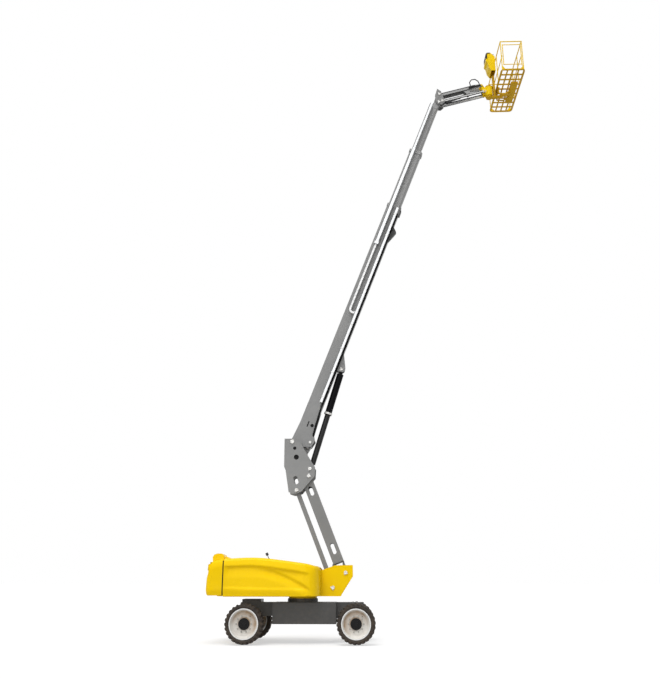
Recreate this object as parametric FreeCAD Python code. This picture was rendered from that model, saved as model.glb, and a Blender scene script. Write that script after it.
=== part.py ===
import FreeCAD, Part
import math
import os

# Articulated telescopic boom lift, parked with its boom raised.
# Frame: +X is the way the boom reaches, +Y is the machine's left, +Z is up.
# The origin lies on the ground under the slew axis. Lengths are millimetres, angles degrees.

# ---- driving dimensions ----
WHEEL_BASE = 3000.0
TYRE_RADIUS = 530.0
TYRE_WIDTH = 380.0
TRACK_HALF = 1060.0          # slew axis to a tyre's middle plane
RIM_RADIUS = 395.0
HUB_RADIUS = 150.0
KINGPIN_Y = 790.0

CHASSIS_TOP = 1060.0
CHASSIS_BOTTOM = 500.0
CHASSIS_HALF = 600.0
NECK_HALF = 330.0            # half width of the chassis between the wheels
CHASSIS_WALL = 20.0

SEAT = 0.3                   # gap between a moving face and what carries it
PIN_CLEAR = 0.3              # radial gap of a pin in its bore

SLEW_RADIUS = 430.0
SLEW_HEIGHT = 100.0

DECK_Z = 1250.0              # top of the turntable plate
DECK_PLATE = 30.0
TURRET_HALF = 1200.0
CHANNEL_HALF = 400.0         # half width of the slot that the arms fold into
CHEEK_Y = 450.0              # outer face of a cheek plate
CHEEK_PLATE = 25.0
TAIL_X = -2590.0
SEAM_X = -2115.0             # joint between counterweight and hoods
HOOD_FRONT_X = 530.0
HOOD_WALL = 8.0
HOOD_HINGE_Y = 480.0
HOOD_HINGE_Z = 2100.0

ARM_FOOT = (1218.0, 1853.0)        # lower arm's pivot on the cheeks, x and z
ROD_FOOT = (867.0, 1453.0)         # tie rod's pivot on the cheeks
ARM_LENGTH = 2911.0
ARM_ANGLE = 111.5                  # from +X, with the arm raised
ARM_DEPTH = 314.0
ARM_BELOW = 242.0                  # from the pivot line to the arm's rear face
ARM_HALF = 220.0
TIE_DEPTH = 120.0
TIE_INNER = 150.0
TIE_OUTER = 190.0
PIN_RADIUS = 42.0

KNUCKLE_Y = 325.0                  # outer face of a knuckle plate
KNUCKLE_PLATE = 25.0
BOOM_PIVOT_OFFSET = (-494.0, 1016.5)   # boom's pivot from the lower arm's head, x and z
BOOM_ANGLE = 69.0
LUFF_FOOT_OFFSET = (40.0, 213.5)       # luff cylinder's pin on the knuckle, from the same place

OUTER_LENGTH = 8550.0
OUTER_HALF = 170.0
OUTER_TOP = 20.0
OUTER_BOTTOM = -440.0
OUTER_WALL = 10.0
MIDDLE_OUT = 2080.0                # how far the middle section stands out
FLY_OUT = 1930.0                   # how far the fly stands out of the middle section
SECTION_GAP = 15.0                 # between two boom sections, filled by pads at the mouth
SECTION_WALL = 8.0
LUFF_EYE = (2660.0, -556.0)        # luff cylinder's pin, along the boom and above its pivot

CONDUIT_OFF = 70.0                 # from the outer boom's side to the middle plane of its conduits
CONDUIT_T = -125.0                 # their height in the boom's frame
TRACK_LOOP_S = 4450.0              # where the cable track turns back
TRAY_START = 1440.0
TRAY_T = -345.0

HEAD_PIN = (132.5, -333.5)         # jib bracket's pin, past the fly's end and above the pivot line
JIB_LOWER_OFFSET = (120.0, 50.0)   # jib pins from the bracket's pin, x and z
JIB_UPPER_OFFSET = (30.0, 320.0)
JIB_LENGTH = 1530.0
JIB_ANGLE = 14.8

ROTATOR_REACH = 261.0              # from the jib's upper end pin out to the platform's turning axis
FLOOR_DROP = 171.0                 # from the same pin down to the platform's floor
CAGE_REACH = 220.0                 # from the turning axis to the cage
CAGE_WIDTH = 810.0
CAGE_HALF = 1200.0
RAIL_HEIGHT = 1130.0
RAIL_RADIUS = 17.0
TIE_DOWN_RADIUS = 25.0
ANCHOR_RADIUS = 12.0

# ---- values worked out from the ones above ----
AXLE_Z = TYRE_RADIUS
AXLE_X = WHEEL_BASE / 2
SLEW_TOP = CHASSIS_TOP + SLEW_HEIGHT
DECK_UNDER = DECK_Z - DECK_PLATE


def direction(angle):
    return math.cos(math.radians(angle)), math.sin(math.radians(angle))


def offset(origin, shift):
    return origin[0] + shift[0], origin[1] + shift[1]


ARM_DIR = direction(ARM_ANGLE)
ARM_HEAD = (ARM_FOOT[0] + ARM_LENGTH * ARM_DIR[0], ARM_FOOT[1] + ARM_LENGTH * ARM_DIR[1])
ROD_HEAD = (ROD_FOOT[0] + ARM_LENGTH * ARM_DIR[0], ROD_FOOT[1] + ARM_LENGTH * ARM_DIR[1])
BOOM_PIVOT = offset(ARM_HEAD, BOOM_PIVOT_OFFSET)
LUFF_FOOT = offset(ARM_HEAD, LUFF_FOOT_OFFSET)
BOOM_DIR = direction(BOOM_ANGLE)


def boom_point(along_boom, above):
    """World x and z of a place given along the boom and above its pivot line."""
    return (BOOM_PIVOT[0] + along_boom * BOOM_DIR[0] - above * BOOM_DIR[1],
            BOOM_PIVOT[1] + along_boom * BOOM_DIR[1] + above * BOOM_DIR[0])


CONDUIT_Y = -OUTER_HALF - CONDUIT_OFF
MIDDLE_END = OUTER_LENGTH + MIDDLE_OUT + 120.0
FLY_END = MIDDLE_END + FLY_OUT
FLY_PIN = boom_point(FLY_END + HEAD_PIN[0], HEAD_PIN[1])
JIB_LOWER = offset(FLY_PIN, JIB_LOWER_OFFSET)
JIB_UPPER = offset(FLY_PIN, JIB_UPPER_OFFSET)
JIB_DIR = direction(JIB_ANGLE)
JIB_LOWER_END = (JIB_LOWER[0] + JIB_LENGTH * JIB_DIR[0], JIB_LOWER[1] + JIB_LENGTH * JIB_DIR[1])
JIB_UPPER_END = (JIB_UPPER[0] + JIB_LENGTH * JIB_DIR[0], JIB_UPPER[1] + JIB_LENGTH * JIB_DIR[1])
ROTATOR_X = JIB_UPPER_END[0] + ROTATOR_REACH
FLOOR_Z = JIB_UPPER_END[1] - FLOOR_DROP
CAGE_X0 = ROTATOR_X + CAGE_REACH
CAGE_X1 = CAGE_X0 + CAGE_WIDTH


# ---- small shape helpers ----
def box(x0, x1, y0, y1, z0, z1):
    return Part.makeBox(x1 - x0, y1 - y0, z1 - z0, FreeCAD.Vector(x0, y0, z0))


def rod_y(x, z, y0, y1, radius):
    return Part.makeCylinder(radius, y1 - y0, FreeCAD.Vector(x, y0, z), FreeCAD.Vector(0, 1, 0))


def rod_x(y, z, x0, x1, radius):
    return Part.makeCylinder(radius, x1 - x0, FreeCAD.Vector(x0, y, z), FreeCAD.Vector(1, 0, 0))


def rod_z(x, y, z0, z1, radius):
    return Part.makeCylinder(radius, z1 - z0, FreeCAD.Vector(x, y, z0), FreeCAD.Vector(0, 0, 1))


def bar(start, end, radius):
    """A round bar between two points."""
    first = FreeCAD.Vector(*start)
    run = FreeCAD.Vector(*end) - first
    return Part.makeCylinder(radius, run.Length, first, run)


def plate(points, y0, y1):
    """A flat plate: an outline in X and Z, from y0 to y1."""
    corners = [FreeCAD.Vector(x, y0, z) for x, z in points]
    face = Part.Face(Part.makePolygon(corners + corners[:1]))
    return face.extrude(FreeCAD.Vector(0, y1 - y0, 0))


def prism_x(points, x0, x1):
    """A bar along X: an outline in Y and Z, from x0 to x1."""
    corners = [FreeCAD.Vector(x0, y, z) for y, z in points]
    face = Part.Face(Part.makePolygon(corners + corners[:1]))
    return face.extrude(FreeCAD.Vector(x1 - x0, 0, 0))


def prism_z(points, z0, z1):
    """A block: an outline in X and Y, from z0 to z1."""
    corners = [FreeCAD.Vector(x, y, z0) for x, y in points]
    face = Part.Face(Part.makePolygon(corners + corners[:1]))
    return face.extrude(FreeCAD.Vector(0, 0, z1 - z0))


def fuse(shapes):
    return shapes[0].multiFuse(shapes[1:]).removeSplitter()


def cut(shape, tools):
    return shape.cut(Part.makeCompound(tools)) if tools else shape


def mirrored(shape):
    """The same piece on the other side of the machine's middle plane."""
    return shape.mirror(FreeCAD.Vector(0, 0, 0), FreeCAD.Vector(0, 1, 0))


def both_sides(shape):
    return [shape, mirrored(shape)]


def along(shape, origin, angle):
    """Turn a shape built along +X to an angle above +X and set its origin in the XZ plane."""
    turned = shape.copy()
    turned.rotate(FreeCAD.Vector(0, 0, 0), FreeCAD.Vector(0, 1, 0), -angle)
    turned.translate(FreeCAD.Vector(origin[0], 0, origin[1]))
    return turned


def on_boom(shape):
    return along(shape, BOOM_PIVOT, BOOM_ANGLE)


def angle_between(start, end):
    return math.degrees(math.atan2(end[1] - start[1], end[0] - start[0]))


def distance(start, end):
    return math.hypot(end[0] - start[0], end[1] - start[1])


def rounded(points, radius, count=6):
    """An outline with each corner replaced by a short arc of chords."""
    out = []
    total = len(points)
    for i in range(total):
        before, here, after = points[i - 1], points[i], points[(i + 1) % total]
        a = FreeCAD.Vector(before[0] - here[0], before[1] - here[1], 0)
        b = FreeCAD.Vector(after[0] - here[0], after[1] - here[1], 0)
        half = a.getAngle(b) / 2
        reach = min(radius / math.tan(half), a.Length * 0.45, b.Length * 0.45)
        a.normalize()
        b.normalize()
        start = FreeCAD.Vector(here[0], here[1], 0) + a * reach
        end = FreeCAD.Vector(here[0], here[1], 0) + b * reach
        corner = FreeCAD.Vector(here[0], here[1], 0)
        for k in range(count + 1):
            f = k / count
            p = start * (1 - f) ** 2 + corner * (2 * f * (1 - f)) + end * f ** 2
            out.append((p.x, p.y))
    return out


BALL = 1.06                  # a joint ball's radius over its tube's


def tube_loop(points, radius):
    """Round tubes along a chain of points, joined by balls a little larger than the tube."""
    pieces = [bar(a, b, radius) for a, b in zip(points, points[1:])]
    pieces += [Part.makeSphere(radius * BALL, FreeCAD.Vector(*p)) for p in points[1:-1]]
    return pieces


def offsets(origin, shifts):
    return [offset(origin, shift) for shift in shifts]


nodes = {}


# ---- chassis ----
CHASSIS_X0 = -800.0
CHASSIS_X1 = 950.0
NECK_END = AXLE_X + 220
STEER_NECK_BOTTOM = 700.0
FIXED_NECK_BOTTOM = 640.0
HUMP_TOP = 1144.0
LUG_REACH = 110.0
LUG_Y = 250.0
LUG_Z = 800.0
LUG_PLATE = 25.0
DRIVE_RADIUS = 165.0                # the axles' differential housing
DRIVE_HALF = 120.0


def chassis_shell():
    middle = box(CHASSIS_X0, CHASSIS_X1, -CHASSIS_HALF, CHASSIS_HALF, CHASSIS_BOTTOM, CHASSIS_TOP)
    steer_neck = box(-NECK_END, CHASSIS_X0, -NECK_HALF, NECK_HALF, STEER_NECK_BOTTOM, CHASSIS_TOP)
    fixed_neck = box(CHASSIS_X1, NECK_END, -NECK_HALF, NECK_HALF, FIXED_NECK_BOTTOM, CHASSIS_TOP)
    hump = box(-AXLE_X - 180, 350 - AXLE_X, -NECK_HALF, NECK_HALF, CHASSIS_TOP, HUMP_TOP)
    wall = CHASSIS_WALL
    hollow = box(CHASSIS_X0 + wall, CHASSIS_X1 - wall, wall - CHASSIS_HALF, CHASSIS_HALF - wall,
                 CHASSIS_BOTTOM - 1, CHASSIS_TOP - wall)
    neck_in = NECK_HALF - wall
    steer_hollow = box(wall - NECK_END, CHASSIS_X0 - wall, -neck_in, neck_in,
                       STEER_NECK_BOTTOM + wall, CHASSIS_TOP - wall)
    steer_mouth = box(150 - AXLE_X, CHASSIS_X0 - wall, 60 - neck_in, neck_in - 60,
                      STEER_NECK_BOTTOM - 1, STEER_NECK_BOTTOM + wall + 1)
    fixed_hollow = box(CHASSIS_X1 + wall, NECK_END - wall, -neck_in, neck_in,
                       FIXED_NECK_BOTTOM + wall, CHASSIS_TOP - wall)
    fixed_mouth = box(CHASSIS_X1 + wall, AXLE_X - 150, 60 - neck_in, neck_in - 60,
                      FIXED_NECK_BOTTOM - 1, FIXED_NECK_BOTTOM + wall + 1)
    drive_mouth = box(AXLE_X - DRIVE_RADIUS, AXLE_X + DRIVE_RADIUS, -DRIVE_HALF - 5, DRIVE_HALF + 5,
                      FIXED_NECK_BOTTOM - 1, FIXED_NECK_BOTTOM + wall + 1)
    whole = fuse([middle, steer_neck, fixed_neck, hump])
    return cut(whole, [hollow, steer_hollow, steer_mouth, fixed_hollow, fixed_mouth, drive_mouth])


def tie_down_lug(x_face, way, y):
    """A level plate on the end of the chassis with a round hole for a lashing shackle."""
    x0, x1 = sorted((x_face + way * SEAT, x_face + way * LUG_REACH))
    lug = box(x0, x1, y - 60, y + 60, LUG_Z - LUG_PLATE / 2, LUG_Z + LUG_PLATE / 2)
    return cut(lug, [rod_z(x_face + way * 60, y, LUG_Z - LUG_PLATE, LUG_Z + LUG_PLATE, TIE_DOWN_RADIUS)])


def tie_down_lugs():
    lugs = []
    for way in (-1, 1):
        for y in (-LUG_Y, LUG_Y):
            lugs.append(tie_down_lug(way * NECK_END, way, y))
    return Part.makeCompound(lugs)


def slew_ring():
    ring = rod_z(0, 0, CHASSIS_TOP, SLEW_TOP, SLEW_RADIUS)
    return cut(ring, [rod_z(0, 0, CHASSIS_TOP - 1, SLEW_TOP + 1, SLEW_RADIUS - 110)])


# ---- axles and wheels ----
HUB_FACE = 104.0                    # from a tyre's middle plane to the hub's inner face
SPINDLE_END = TRACK_HALF - HUB_FACE - SEAT
FORK_LOW = 395.0
FORK_HIGH = 665.0
FORK_PLATE = 25.0
KNUCKLE_RADIUS = 68.0
KINGPIN_RADIUS = 30.0
STEER_X = -AXLE_X
FIXED_X = AXLE_X


def axle_beam(x, half, pad_top):
    tube = rod_y(x, AXLE_Z, -half, half, 85)
    drive = rod_y(x, AXLE_Z, -DRIVE_HALF, DRIVE_HALF, DRIVE_RADIUS)
    pad = box(x - 120, x + 120, -160, 160, AXLE_Z + 40, pad_top)
    nose = rod_x(0, AXLE_Z, min(x, x * 0.82), max(x, x * 0.82), 90)
    return fuse([tube, drive, pad, nose])


def kingpin_fork(y_back):
    """The yoke on the left end of the steering axle, with its two short kingpins."""
    x0, x1 = STEER_X - 70, STEER_X + 70
    back = box(x0, x1, y_back - 22, y_back, FORK_LOW - FORK_PLATE, FORK_HIGH + FORK_PLATE)
    ears = []
    for z in (FORK_LOW - FORK_PLATE, FORK_HIGH):
        ears.append(box(x0, x1, y_back - 5, KINGPIN_Y, z, z + FORK_PLATE))
        ears.append(rod_z(STEER_X, KINGPIN_Y, z, z + FORK_PLATE, 70))
    low_pin = rod_z(STEER_X, KINGPIN_Y, FORK_LOW - 5, FORK_LOW + 45, KINGPIN_RADIUS)
    high_pin = rod_z(STEER_X, KINGPIN_Y, FORK_HIGH - 45, FORK_HIGH + 5, KINGPIN_RADIUS)
    return fuse([back, low_pin, high_pin] + ears)


def steer_axle():
    y_back = KINGPIN_Y - KNUCKLE_RADIUS - 10
    fork = kingpin_fork(y_back)
    cylinder = rod_y(STEER_X + 150, AXLE_Z + 60, -380, 380, 34)
    brackets = [box(STEER_X + 40, STEER_X + 165, y - 12, y + 12, AXLE_Z, AXLE_Z + 80) for y in (-250, 250)]
    beam = axle_beam(STEER_X, y_back - 10, STEER_NECK_BOTTOM)
    return fuse([beam, fork, mirrored(fork), cylinder] + brackets)


def fixed_axle():
    beam = axle_beam(FIXED_X, SPINDLE_END - 60, FIXED_NECK_BOTTOM)
    ends = rod_y(FIXED_X, AXLE_Z, SPINDLE_END - 150, SPINDLE_END, HUB_RADIUS)
    return fuse([beam] + both_sides(ends))


def steer_knuckle():
    """The left steering knuckle: a boss on the kingpins with the spindle that holds the hub."""
    boss = rod_z(STEER_X, KINGPIN_Y, FORK_LOW + SEAT, FORK_HIGH - 5, KNUCKLE_RADIUS)
    spindle = rod_y(STEER_X, AXLE_Z, KINGPIN_Y + 20, SPINDLE_END, 125)
    body = fuse([boss, spindle])
    low = rod_z(STEER_X, KINGPIN_Y, FORK_LOW - 1, FORK_LOW + 50, KINGPIN_RADIUS + PIN_CLEAR)
    high = rod_z(STEER_X, KINGPIN_Y, FORK_HIGH - 50, FORK_HIGH + 1, KINGPIN_RADIUS + PIN_CLEAR)
    return cut(body, [low, high])


def wheel_turned(profile, x):
    """Turn an outline of (offset from the tyre's middle plane, radius) about the left wheel's axle."""
    corners = [FreeCAD.Vector(x, TRACK_HALF + offset, AXLE_Z + radius) for offset, radius in profile]
    face = Part.Face(Part.makePolygon(corners + corners[:1]))
    return face.revolve(FreeCAD.Vector(x, 0, AXLE_Z), FreeCAD.Vector(0, 1, 0), 360)


def tyre(x):
    half = TYRE_WIDTH / 2
    body = rod_y(x, AXLE_Z, TRACK_HALF - half, TRACK_HALF + half, TYRE_RADIUS)
    rims = [e for e in body.Edges if abs(e.Length - 2 * math.pi * TYRE_RADIUS) < 1]
    body = body.makeFillet(45, rims)
    return cut(body, [rod_y(x, AXLE_Z, TRACK_HALF - half - 1, TRACK_HALF + half + 1, RIM_RADIUS)])


def rim(x):
    edge = RIM_RADIUS - SEAT
    lip = TYRE_WIDTH / 2 - 15
    dish = [(-lip, edge), (lip, edge), (lip, edge - 27), (120, edge - 45), (70, edge - 105),
            (62, HUB_RADIUS + 2), (40, HUB_RADIUS + 2), (46, edge - 95), (85, edge - 27), (-lip, edge - 23)]
    return wheel_turned(dish, x)


def hub(x):
    """Planetary hub: a drum behind the rim's disc, a nose through it and a small cap."""
    flange = HUB_RADIUS + 40
    drum = HUB_RADIUS + 10
    outline = [(-HUB_FACE, 0), (-HUB_FACE, drum), (20, drum), (20, flange), (40 - SEAT, flange),
               (40 - SEAT, HUB_RADIUS), (96, HUB_RADIUS), (106, HUB_RADIUS - 12), (106, 80), (124, 72),
               (124, 0)]
    return wheel_turned(outline, x)


WHEEL_PLACES = {
    "steer_left": (STEER_X, False),
    "steer_right": (STEER_X, True),
    "fixed_left": (FIXED_X, False),
    "fixed_right": (FIXED_X, True),
}


def add_running_gear():
    nodes["chassis_frame"] = chassis_shell()
    nodes["tie_down_lugs"] = tie_down_lugs()
    nodes["slew_ring"] = slew_ring()
    nodes["steer_axle"] = steer_axle()
    nodes["fixed_axle"] = fixed_axle()
    nodes["steer_knuckle_left"] = steer_knuckle()
    nodes["steer_knuckle_right"] = mirrored(steer_knuckle())
    for place, (x, right) in WHEEL_PLACES.items():
        for name, make in (("tyre", tyre), ("rim", rim), ("hub", hub)):
            piece = make(x)
            nodes[name + "_" + place] = mirrored(piece) if right else piece


# ---- turret ----
CHEEK_TOP_X = 474.0
CHEEK_TOP_Z = 1893.0
TAIL_FLOOR_Z = 1380.0
CYLINDER_FOOT = (-850.0, 1420.0)     # lower cylinder's pin on the turret
CRANK = 420.0                        # lower cylinder's lever on the arm
CRANK_ANGLE = 200.0                  # its direction with the arm raised
CRANK_PIN = (ARM_FOOT[0] + CRANK * direction(CRANK_ANGLE)[0],
             ARM_FOOT[1] + CRANK * direction(CRANK_ANGLE)[1])


def cheek():
    """The left cheek: a long side plate whose front stands up round the two arm pins."""
    outline = [(SEAM_X, DECK_Z - 5), (SEAM_X, CHEEK_TOP_Z), (CHEEK_TOP_X, CHEEK_TOP_Z), (924, 2046),
               (1421, 2054), (1424, 1759), (1089, DECK_Z - 5)]
    return plate(outline, CHEEK_Y - CHEEK_PLATE, CHEEK_Y)


def hinge_post(x):
    """A lug on the left side plate with the pin that a hood swings on."""
    lug = box(x - 12, x + 12, CHEEK_Y - 10, HOOD_HINGE_Y + 18, CHEEK_TOP_Z - 60, HOOD_HINGE_Z + 18)
    pin = rod_x(HOOD_HINGE_Y, HOOD_HINGE_Z, x - 70, x + 70, 12)
    return fuse([lug, pin])


HINGE_POSTS = (-1800.0, -450.0)


def turret_frame():
    deck = box(SEAM_X - 260, 1089, -CHEEK_Y, CHEEK_Y, DECK_UNDER, DECK_Z)
    bearing = rod_z(0, 0, SLEW_TOP + SEAT, DECK_UNDER + 5, SLEW_RADIUS - 30)
    wing_outline = [(SEAM_X + 25, CHEEK_Y - 10), (SEAM_X + 25, TURRET_HALF - 50), (100, TURRET_HALF - 50),
                    (330, TURRET_HALF - 130), (440, TURRET_HALF - 300), (480, CHEEK_Y - 10)]
    wing = prism_z(wing_outline, DECK_UNDER, DECK_Z)
    side = cheek()
    posts = [hinge_post(x) for x in HINGE_POSTS]
    rod_pin = rod_y(*ROD_FOOT, TIE_INNER - 10, CHEEK_Y + 16, PIN_RADIUS)
    left = fuse([side, wing, rod_pin] + posts)
    arm_pin = rod_y(*ARM_FOOT, -CHEEK_Y - 16, CHEEK_Y + 16, PIN_RADIUS)
    foot_ears = []
    for y in (70, -90):
        ear = plate([(CYLINDER_FOOT[0] - 110, DECK_Z - 5), (CYLINDER_FOOT[0] - 60, CYLINDER_FOOT[1] + 60),
                     (CYLINDER_FOOT[0] + 60, CYLINDER_FOOT[1] + 60), (CYLINDER_FOOT[0] + 110, DECK_Z - 5)],
                    y, y + 20)
        foot_ears.append(ear)
    foot_pin = rod_y(*CYLINDER_FOOT, -100, 100, 32)
    brace = box(-420, -380, 5 - CHEEK_Y, CHEEK_Y - 5, DECK_Z - 5, DECK_Z + 70)
    return fuse([deck, bearing, left, mirrored(left), arm_pin, foot_pin, brace] + foot_ears)


TAIL_TOP = [(-2528.0, 2040.0), (-2512.0, 2085.0), (-2470.0, 2115.0), (-2350.0, 2150.0), (SEAM_X, 2205.0)]


def counterweight():
    """A heavy casting across the tail, with a slot down its middle for the folded arms."""
    outline = [(TAIL_X + 40, DECK_Z), (TAIL_X, DECK_Z + 50)] + TAIL_TOP + [(SEAM_X, DECK_Z)]
    body = plate(outline, -TURRET_HALF, TURRET_HALF)
    keep = prism_z(tail_plan(), DECK_Z - 1, 2400)
    slot = box(TAIL_X - 10, SEAM_X + 10, -CHANNEL_HALF, CHANNEL_HALF, TAIL_FLOOR_Z, 2400)
    return body.common(keep).cut(slot)


def tail_plan():
    """Plan of the tail with its two rear corners rounded."""
    radius = 170.0
    points = [(SEAM_X, -TURRET_HALF)]
    for side in (-1, 1):
        centre = (TAIL_X + radius, side * (TURRET_HALF - radius))
        for k in range(9):
            turn = math.radians(270 - k * 90 / 8) if side < 0 else math.radians(180 - k * 90 / 8)
            points.append((centre[0] + radius * math.cos(turn), centre[1] + radius * math.sin(turn)))
    points.append((SEAM_X, TURRET_HALF))
    return points


def tail_cap():
    """A low cowl on the right half of the tail."""
    outline = [(-2440, 2130), (-2452, 2255), (-2415, 2320), (-2330, 2352), (-2210, 2350), (-2150, 2318),
               (-2122, 2258), (-2122, 2190)]
    cowl = plate(outline, -960, -CHANNEL_HALF - 60)
    above = plate([(TAIL_X - 10, 2500), (TAIL_X - 10, 2040)] + TAIL_TOP + [(SEAM_X, 2500)], -1300, 0)
    return cowl.common(above)


HOOD_CHORDS = 28


def hood_curve(drop):
    """The hood's top line from the seam forward, lowered by a given amount."""
    points = [(SEAM_X, 2205), (-1657, 2231), (-1245, 2238), (-832, 2208), (-421, 2158), (-10, 2104),
              (263, 2060), (HOOD_FRONT_X, 1995)]
    curve = Part.BSplineCurve()
    curve.interpolate([FreeCAD.Vector(x, 0, z - drop) for x, z in points])
    return [(p.x, p.z) for p in curve.discretize(Number=HOOD_CHORDS + 1)]


def hood_block(inset, bottom, inner_y):
    """The room under the hood, smaller by an inset on every outside face."""
    front = HOOD_FRONT_X - inset
    outer = TURRET_HALF - inset
    rear = SEAM_X + 5 + inset
    radius = 430.0
    plan = [(rear, inner_y), (rear, outer)]
    for k in range(13):
        turn = math.radians(90 - k * 90 / 12)
        plan.append((front - radius + radius * math.cos(turn), outer - radius + radius * math.sin(turn)))
    plan.append((front, inner_y))
    column = prism_z(plan, bottom, 2400)
    low = bottom - 1
    line = hood_curve(inset)
    side = plate(line + [(line[-1][0], low), (line[0][0], low)], 0, TURRET_HALF + 10)
    return column.common(side)


STRAP_TOP = 2260.0                    # above the hood's skin, which trims the straps


def hood_cowl():
    """The tail cap's fairing, carried on over the rear of the right hood."""
    start = SEAM_X + 7
    outline = [(start, 2190), (start, 2258), (start + 50, 2262), (-1990, 2238), (-1940, 2200)]
    cowl = plate(outline, -960, -CHANNEL_HALF - 120)
    return cowl.cut(mirrored(hood_block(1.0, DECK_UNDER, 0)))


def hood():
    """The left hood: a thin shell, open underneath and towards the arms, with two hinge barrels."""
    inner_edge = HOOD_HINGE_Y + 24
    outside = hood_block(0.0, DECK_UNDER + 14, inner_edge)
    inside = hood_block(HOOD_WALL, DECK_UNDER + 4, inner_edge - 20)
    shell = outside.cut(inside)
    barrels = []
    bores = []
    for post in HINGE_POSTS:
        for way in (-1, 1):
            x0, x1 = sorted((post + way * 14, post + way * 64))
            barrels.append(rod_x(HOOD_HINGE_Y, HOOD_HINGE_Z, x0, x1, 20))
            bores.append(rod_x(HOOD_HINGE_Y, HOOD_HINGE_Z, x0 - 1, x1 + 1, 12 + PIN_CLEAR))
            strap = prism_x([(HOOD_HINGE_Y + 2, HOOD_HINGE_Z - 8), (HOOD_HINGE_Y + 2, HOOD_HINGE_Z + 12),
                             (inner_edge + 4, STRAP_TOP), (inner_edge + 40, STRAP_TOP)], x0, x1)
            barrels.append(strap.common(hood_block(HOOD_WALL / 2, DECK_UNDER + 4, 0)))
    return cut(fuse([shell] + barrels), bores)


def beacon():
    """A black lamp on a short leaning stalk, on top of the right hood."""
    foot = (-893, -900, 2208)
    head = (-948, -900, 2330)
    stalk = bar(foot, head, 9)
    base = rod_z(foot[0], foot[1], 2200, 2224, 22)
    lamp = bar((head[0] + 14, head[1], head[2] - 32), (head[0] - 16, head[1], head[2] + 36), 37)
    return fuse([stalk, lamp, base])


def add_turret():
    nodes["turret_frame"] = turret_frame()
    nodes["counterweight"] = counterweight()
    nodes["tail_cap"] = tail_cap()
    nodes["hood_left"] = hood()
    nodes["hood_right"] = fuse([mirrored(hood()), hood_cowl()])
    nodes["beacon"] = cut(beacon(), [mirrored(hood_block(0.0, DECK_UNDER, HOOD_HINGE_Y))])
    nodes["engine_block"] = box(-1700, -700, 560, 1080, DECK_Z, 1960)


# ---- lower arm, tie rod and their cylinder ----
ARM_FRONT = ARM_BELOW - ARM_DEPTH     # front face, across the pivot line
ARM_BOX_START = 330.0
ARM_BOX_END = ARM_LENGTH - 130
ARM_WALL = 12.0
WEB_IN = 100.0
WEB_OUT = 130.0
BOSS_RADIUS = 78.0
STUB_IN = 130.0                       # inner end of the short pins in the knuckle


def slot_y(start, end, t, half_width):
    """A slot cutter right through a beam, from start to end along it."""
    a0, a1 = start + half_width, end - half_width
    ends = [rod_y(a, t, -500, 500, half_width) for a in (a0, a1)]
    return fuse([box(a0, a1, -500, 500, t - half_width, t + half_width)] + ends)


def lower_arm():
    """Built along +X from its foot; +Z is the arm's rear face."""
    body = box(ARM_BOX_START, ARM_BOX_END, -ARM_HALF, ARM_HALF, ARM_FRONT, ARM_BELOW)
    wall = ARM_WALL
    hollow = box(ARM_BOX_START + wall, ARM_BOX_END - wall, wall - ARM_HALF, ARM_HALF - wall,
                 ARM_FRONT + wall, ARM_BELOW - wall)
    crank = direction(CRANK_ANGLE - ARM_ANGLE)
    lobe = (CRANK * crank[0], CRANK * crank[1])
    web_outline = [(-70, -70), (ARM_BOX_START + 40, ARM_FRONT), (ARM_BOX_START + 40, ARM_BELOW),
                   (lobe[0] + 110, lobe[1] + 20), (lobe[0] + 20, lobe[1] + 75), (lobe[0] - 60, lobe[1] + 20),
                   (-75, 60)]
    window = plate([(120, 30), (300, -20), (300, 180), (130, 300)], WEB_IN - 5, WEB_OUT + 5)
    web = plate(web_outline, WEB_IN, WEB_OUT).cut(window)
    foot = rod_y(0, 0, -CHEEK_Y + CHEEK_PLATE + 8, CHEEK_Y - CHEEK_PLATE - 8, BOSS_RADIUS)
    head_outline = [(ARM_BOX_END - 40, ARM_FRONT), (ARM_LENGTH + 20, -BOSS_RADIUS), (ARM_LENGTH + 70, 0),
                    (ARM_LENGTH + 20, BOSS_RADIUS), (ARM_BOX_END - 40, ARM_BELOW)]
    head = plate(head_outline, ARM_HALF - 30, ARM_HALF)
    boss = rod_y(ARM_LENGTH, 0, STUB_IN + 10, KNUCKLE_Y - KNUCKLE_PLATE - 8, BOSS_RADIUS)
    middle = (ARM_FRONT + ARM_BELOW) / 2
    slots = [slot_y(580, 900, middle, 55), slot_y(2350, 2630, middle, 55)]
    solid = cut(body, [hollow] + slots)
    whole = fuse([solid, foot] + both_sides(web) + both_sides(head) + both_sides(boss))
    bore = PIN_RADIUS + PIN_CLEAR
    bores = [rod_y(0, 0, -500, 500, bore), rod_y(ARM_LENGTH, 0, -500, 500, bore)]
    return along(cut(whole, bores), ARM_FOOT, ARM_ANGLE)


def tie_rod():
    """Two flat bars side by side, joined by cross tubes where nothing passes between them."""
    side = box(0, ARM_LENGTH, TIE_INNER, TIE_OUTER, -TIE_DEPTH / 2, TIE_DEPTH / 2)
    foot = rod_y(0, 0, TIE_INNER, CHEEK_Y - CHEEK_PLATE - 8, BOSS_RADIUS)
    head = rod_y(ARM_LENGTH, 0, TIE_INNER, KNUCKLE_Y - KNUCKLE_PLATE - 8, BOSS_RADIUS)
    cross = [rod_y(a, 0, -TIE_INNER - 5, TIE_INNER + 5, 40) for a in (2000, 2700)]
    whole = fuse(both_sides(side) + both_sides(foot) + both_sides(head) + cross)
    bore = PIN_RADIUS + PIN_CLEAR
    bores = [rod_y(0, 0, -500, 500, bore), rod_y(ARM_LENGTH, 0, -500, 500, bore)]
    return along(cut(whole, bores), ROD_FOOT, ARM_ANGLE)


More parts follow.
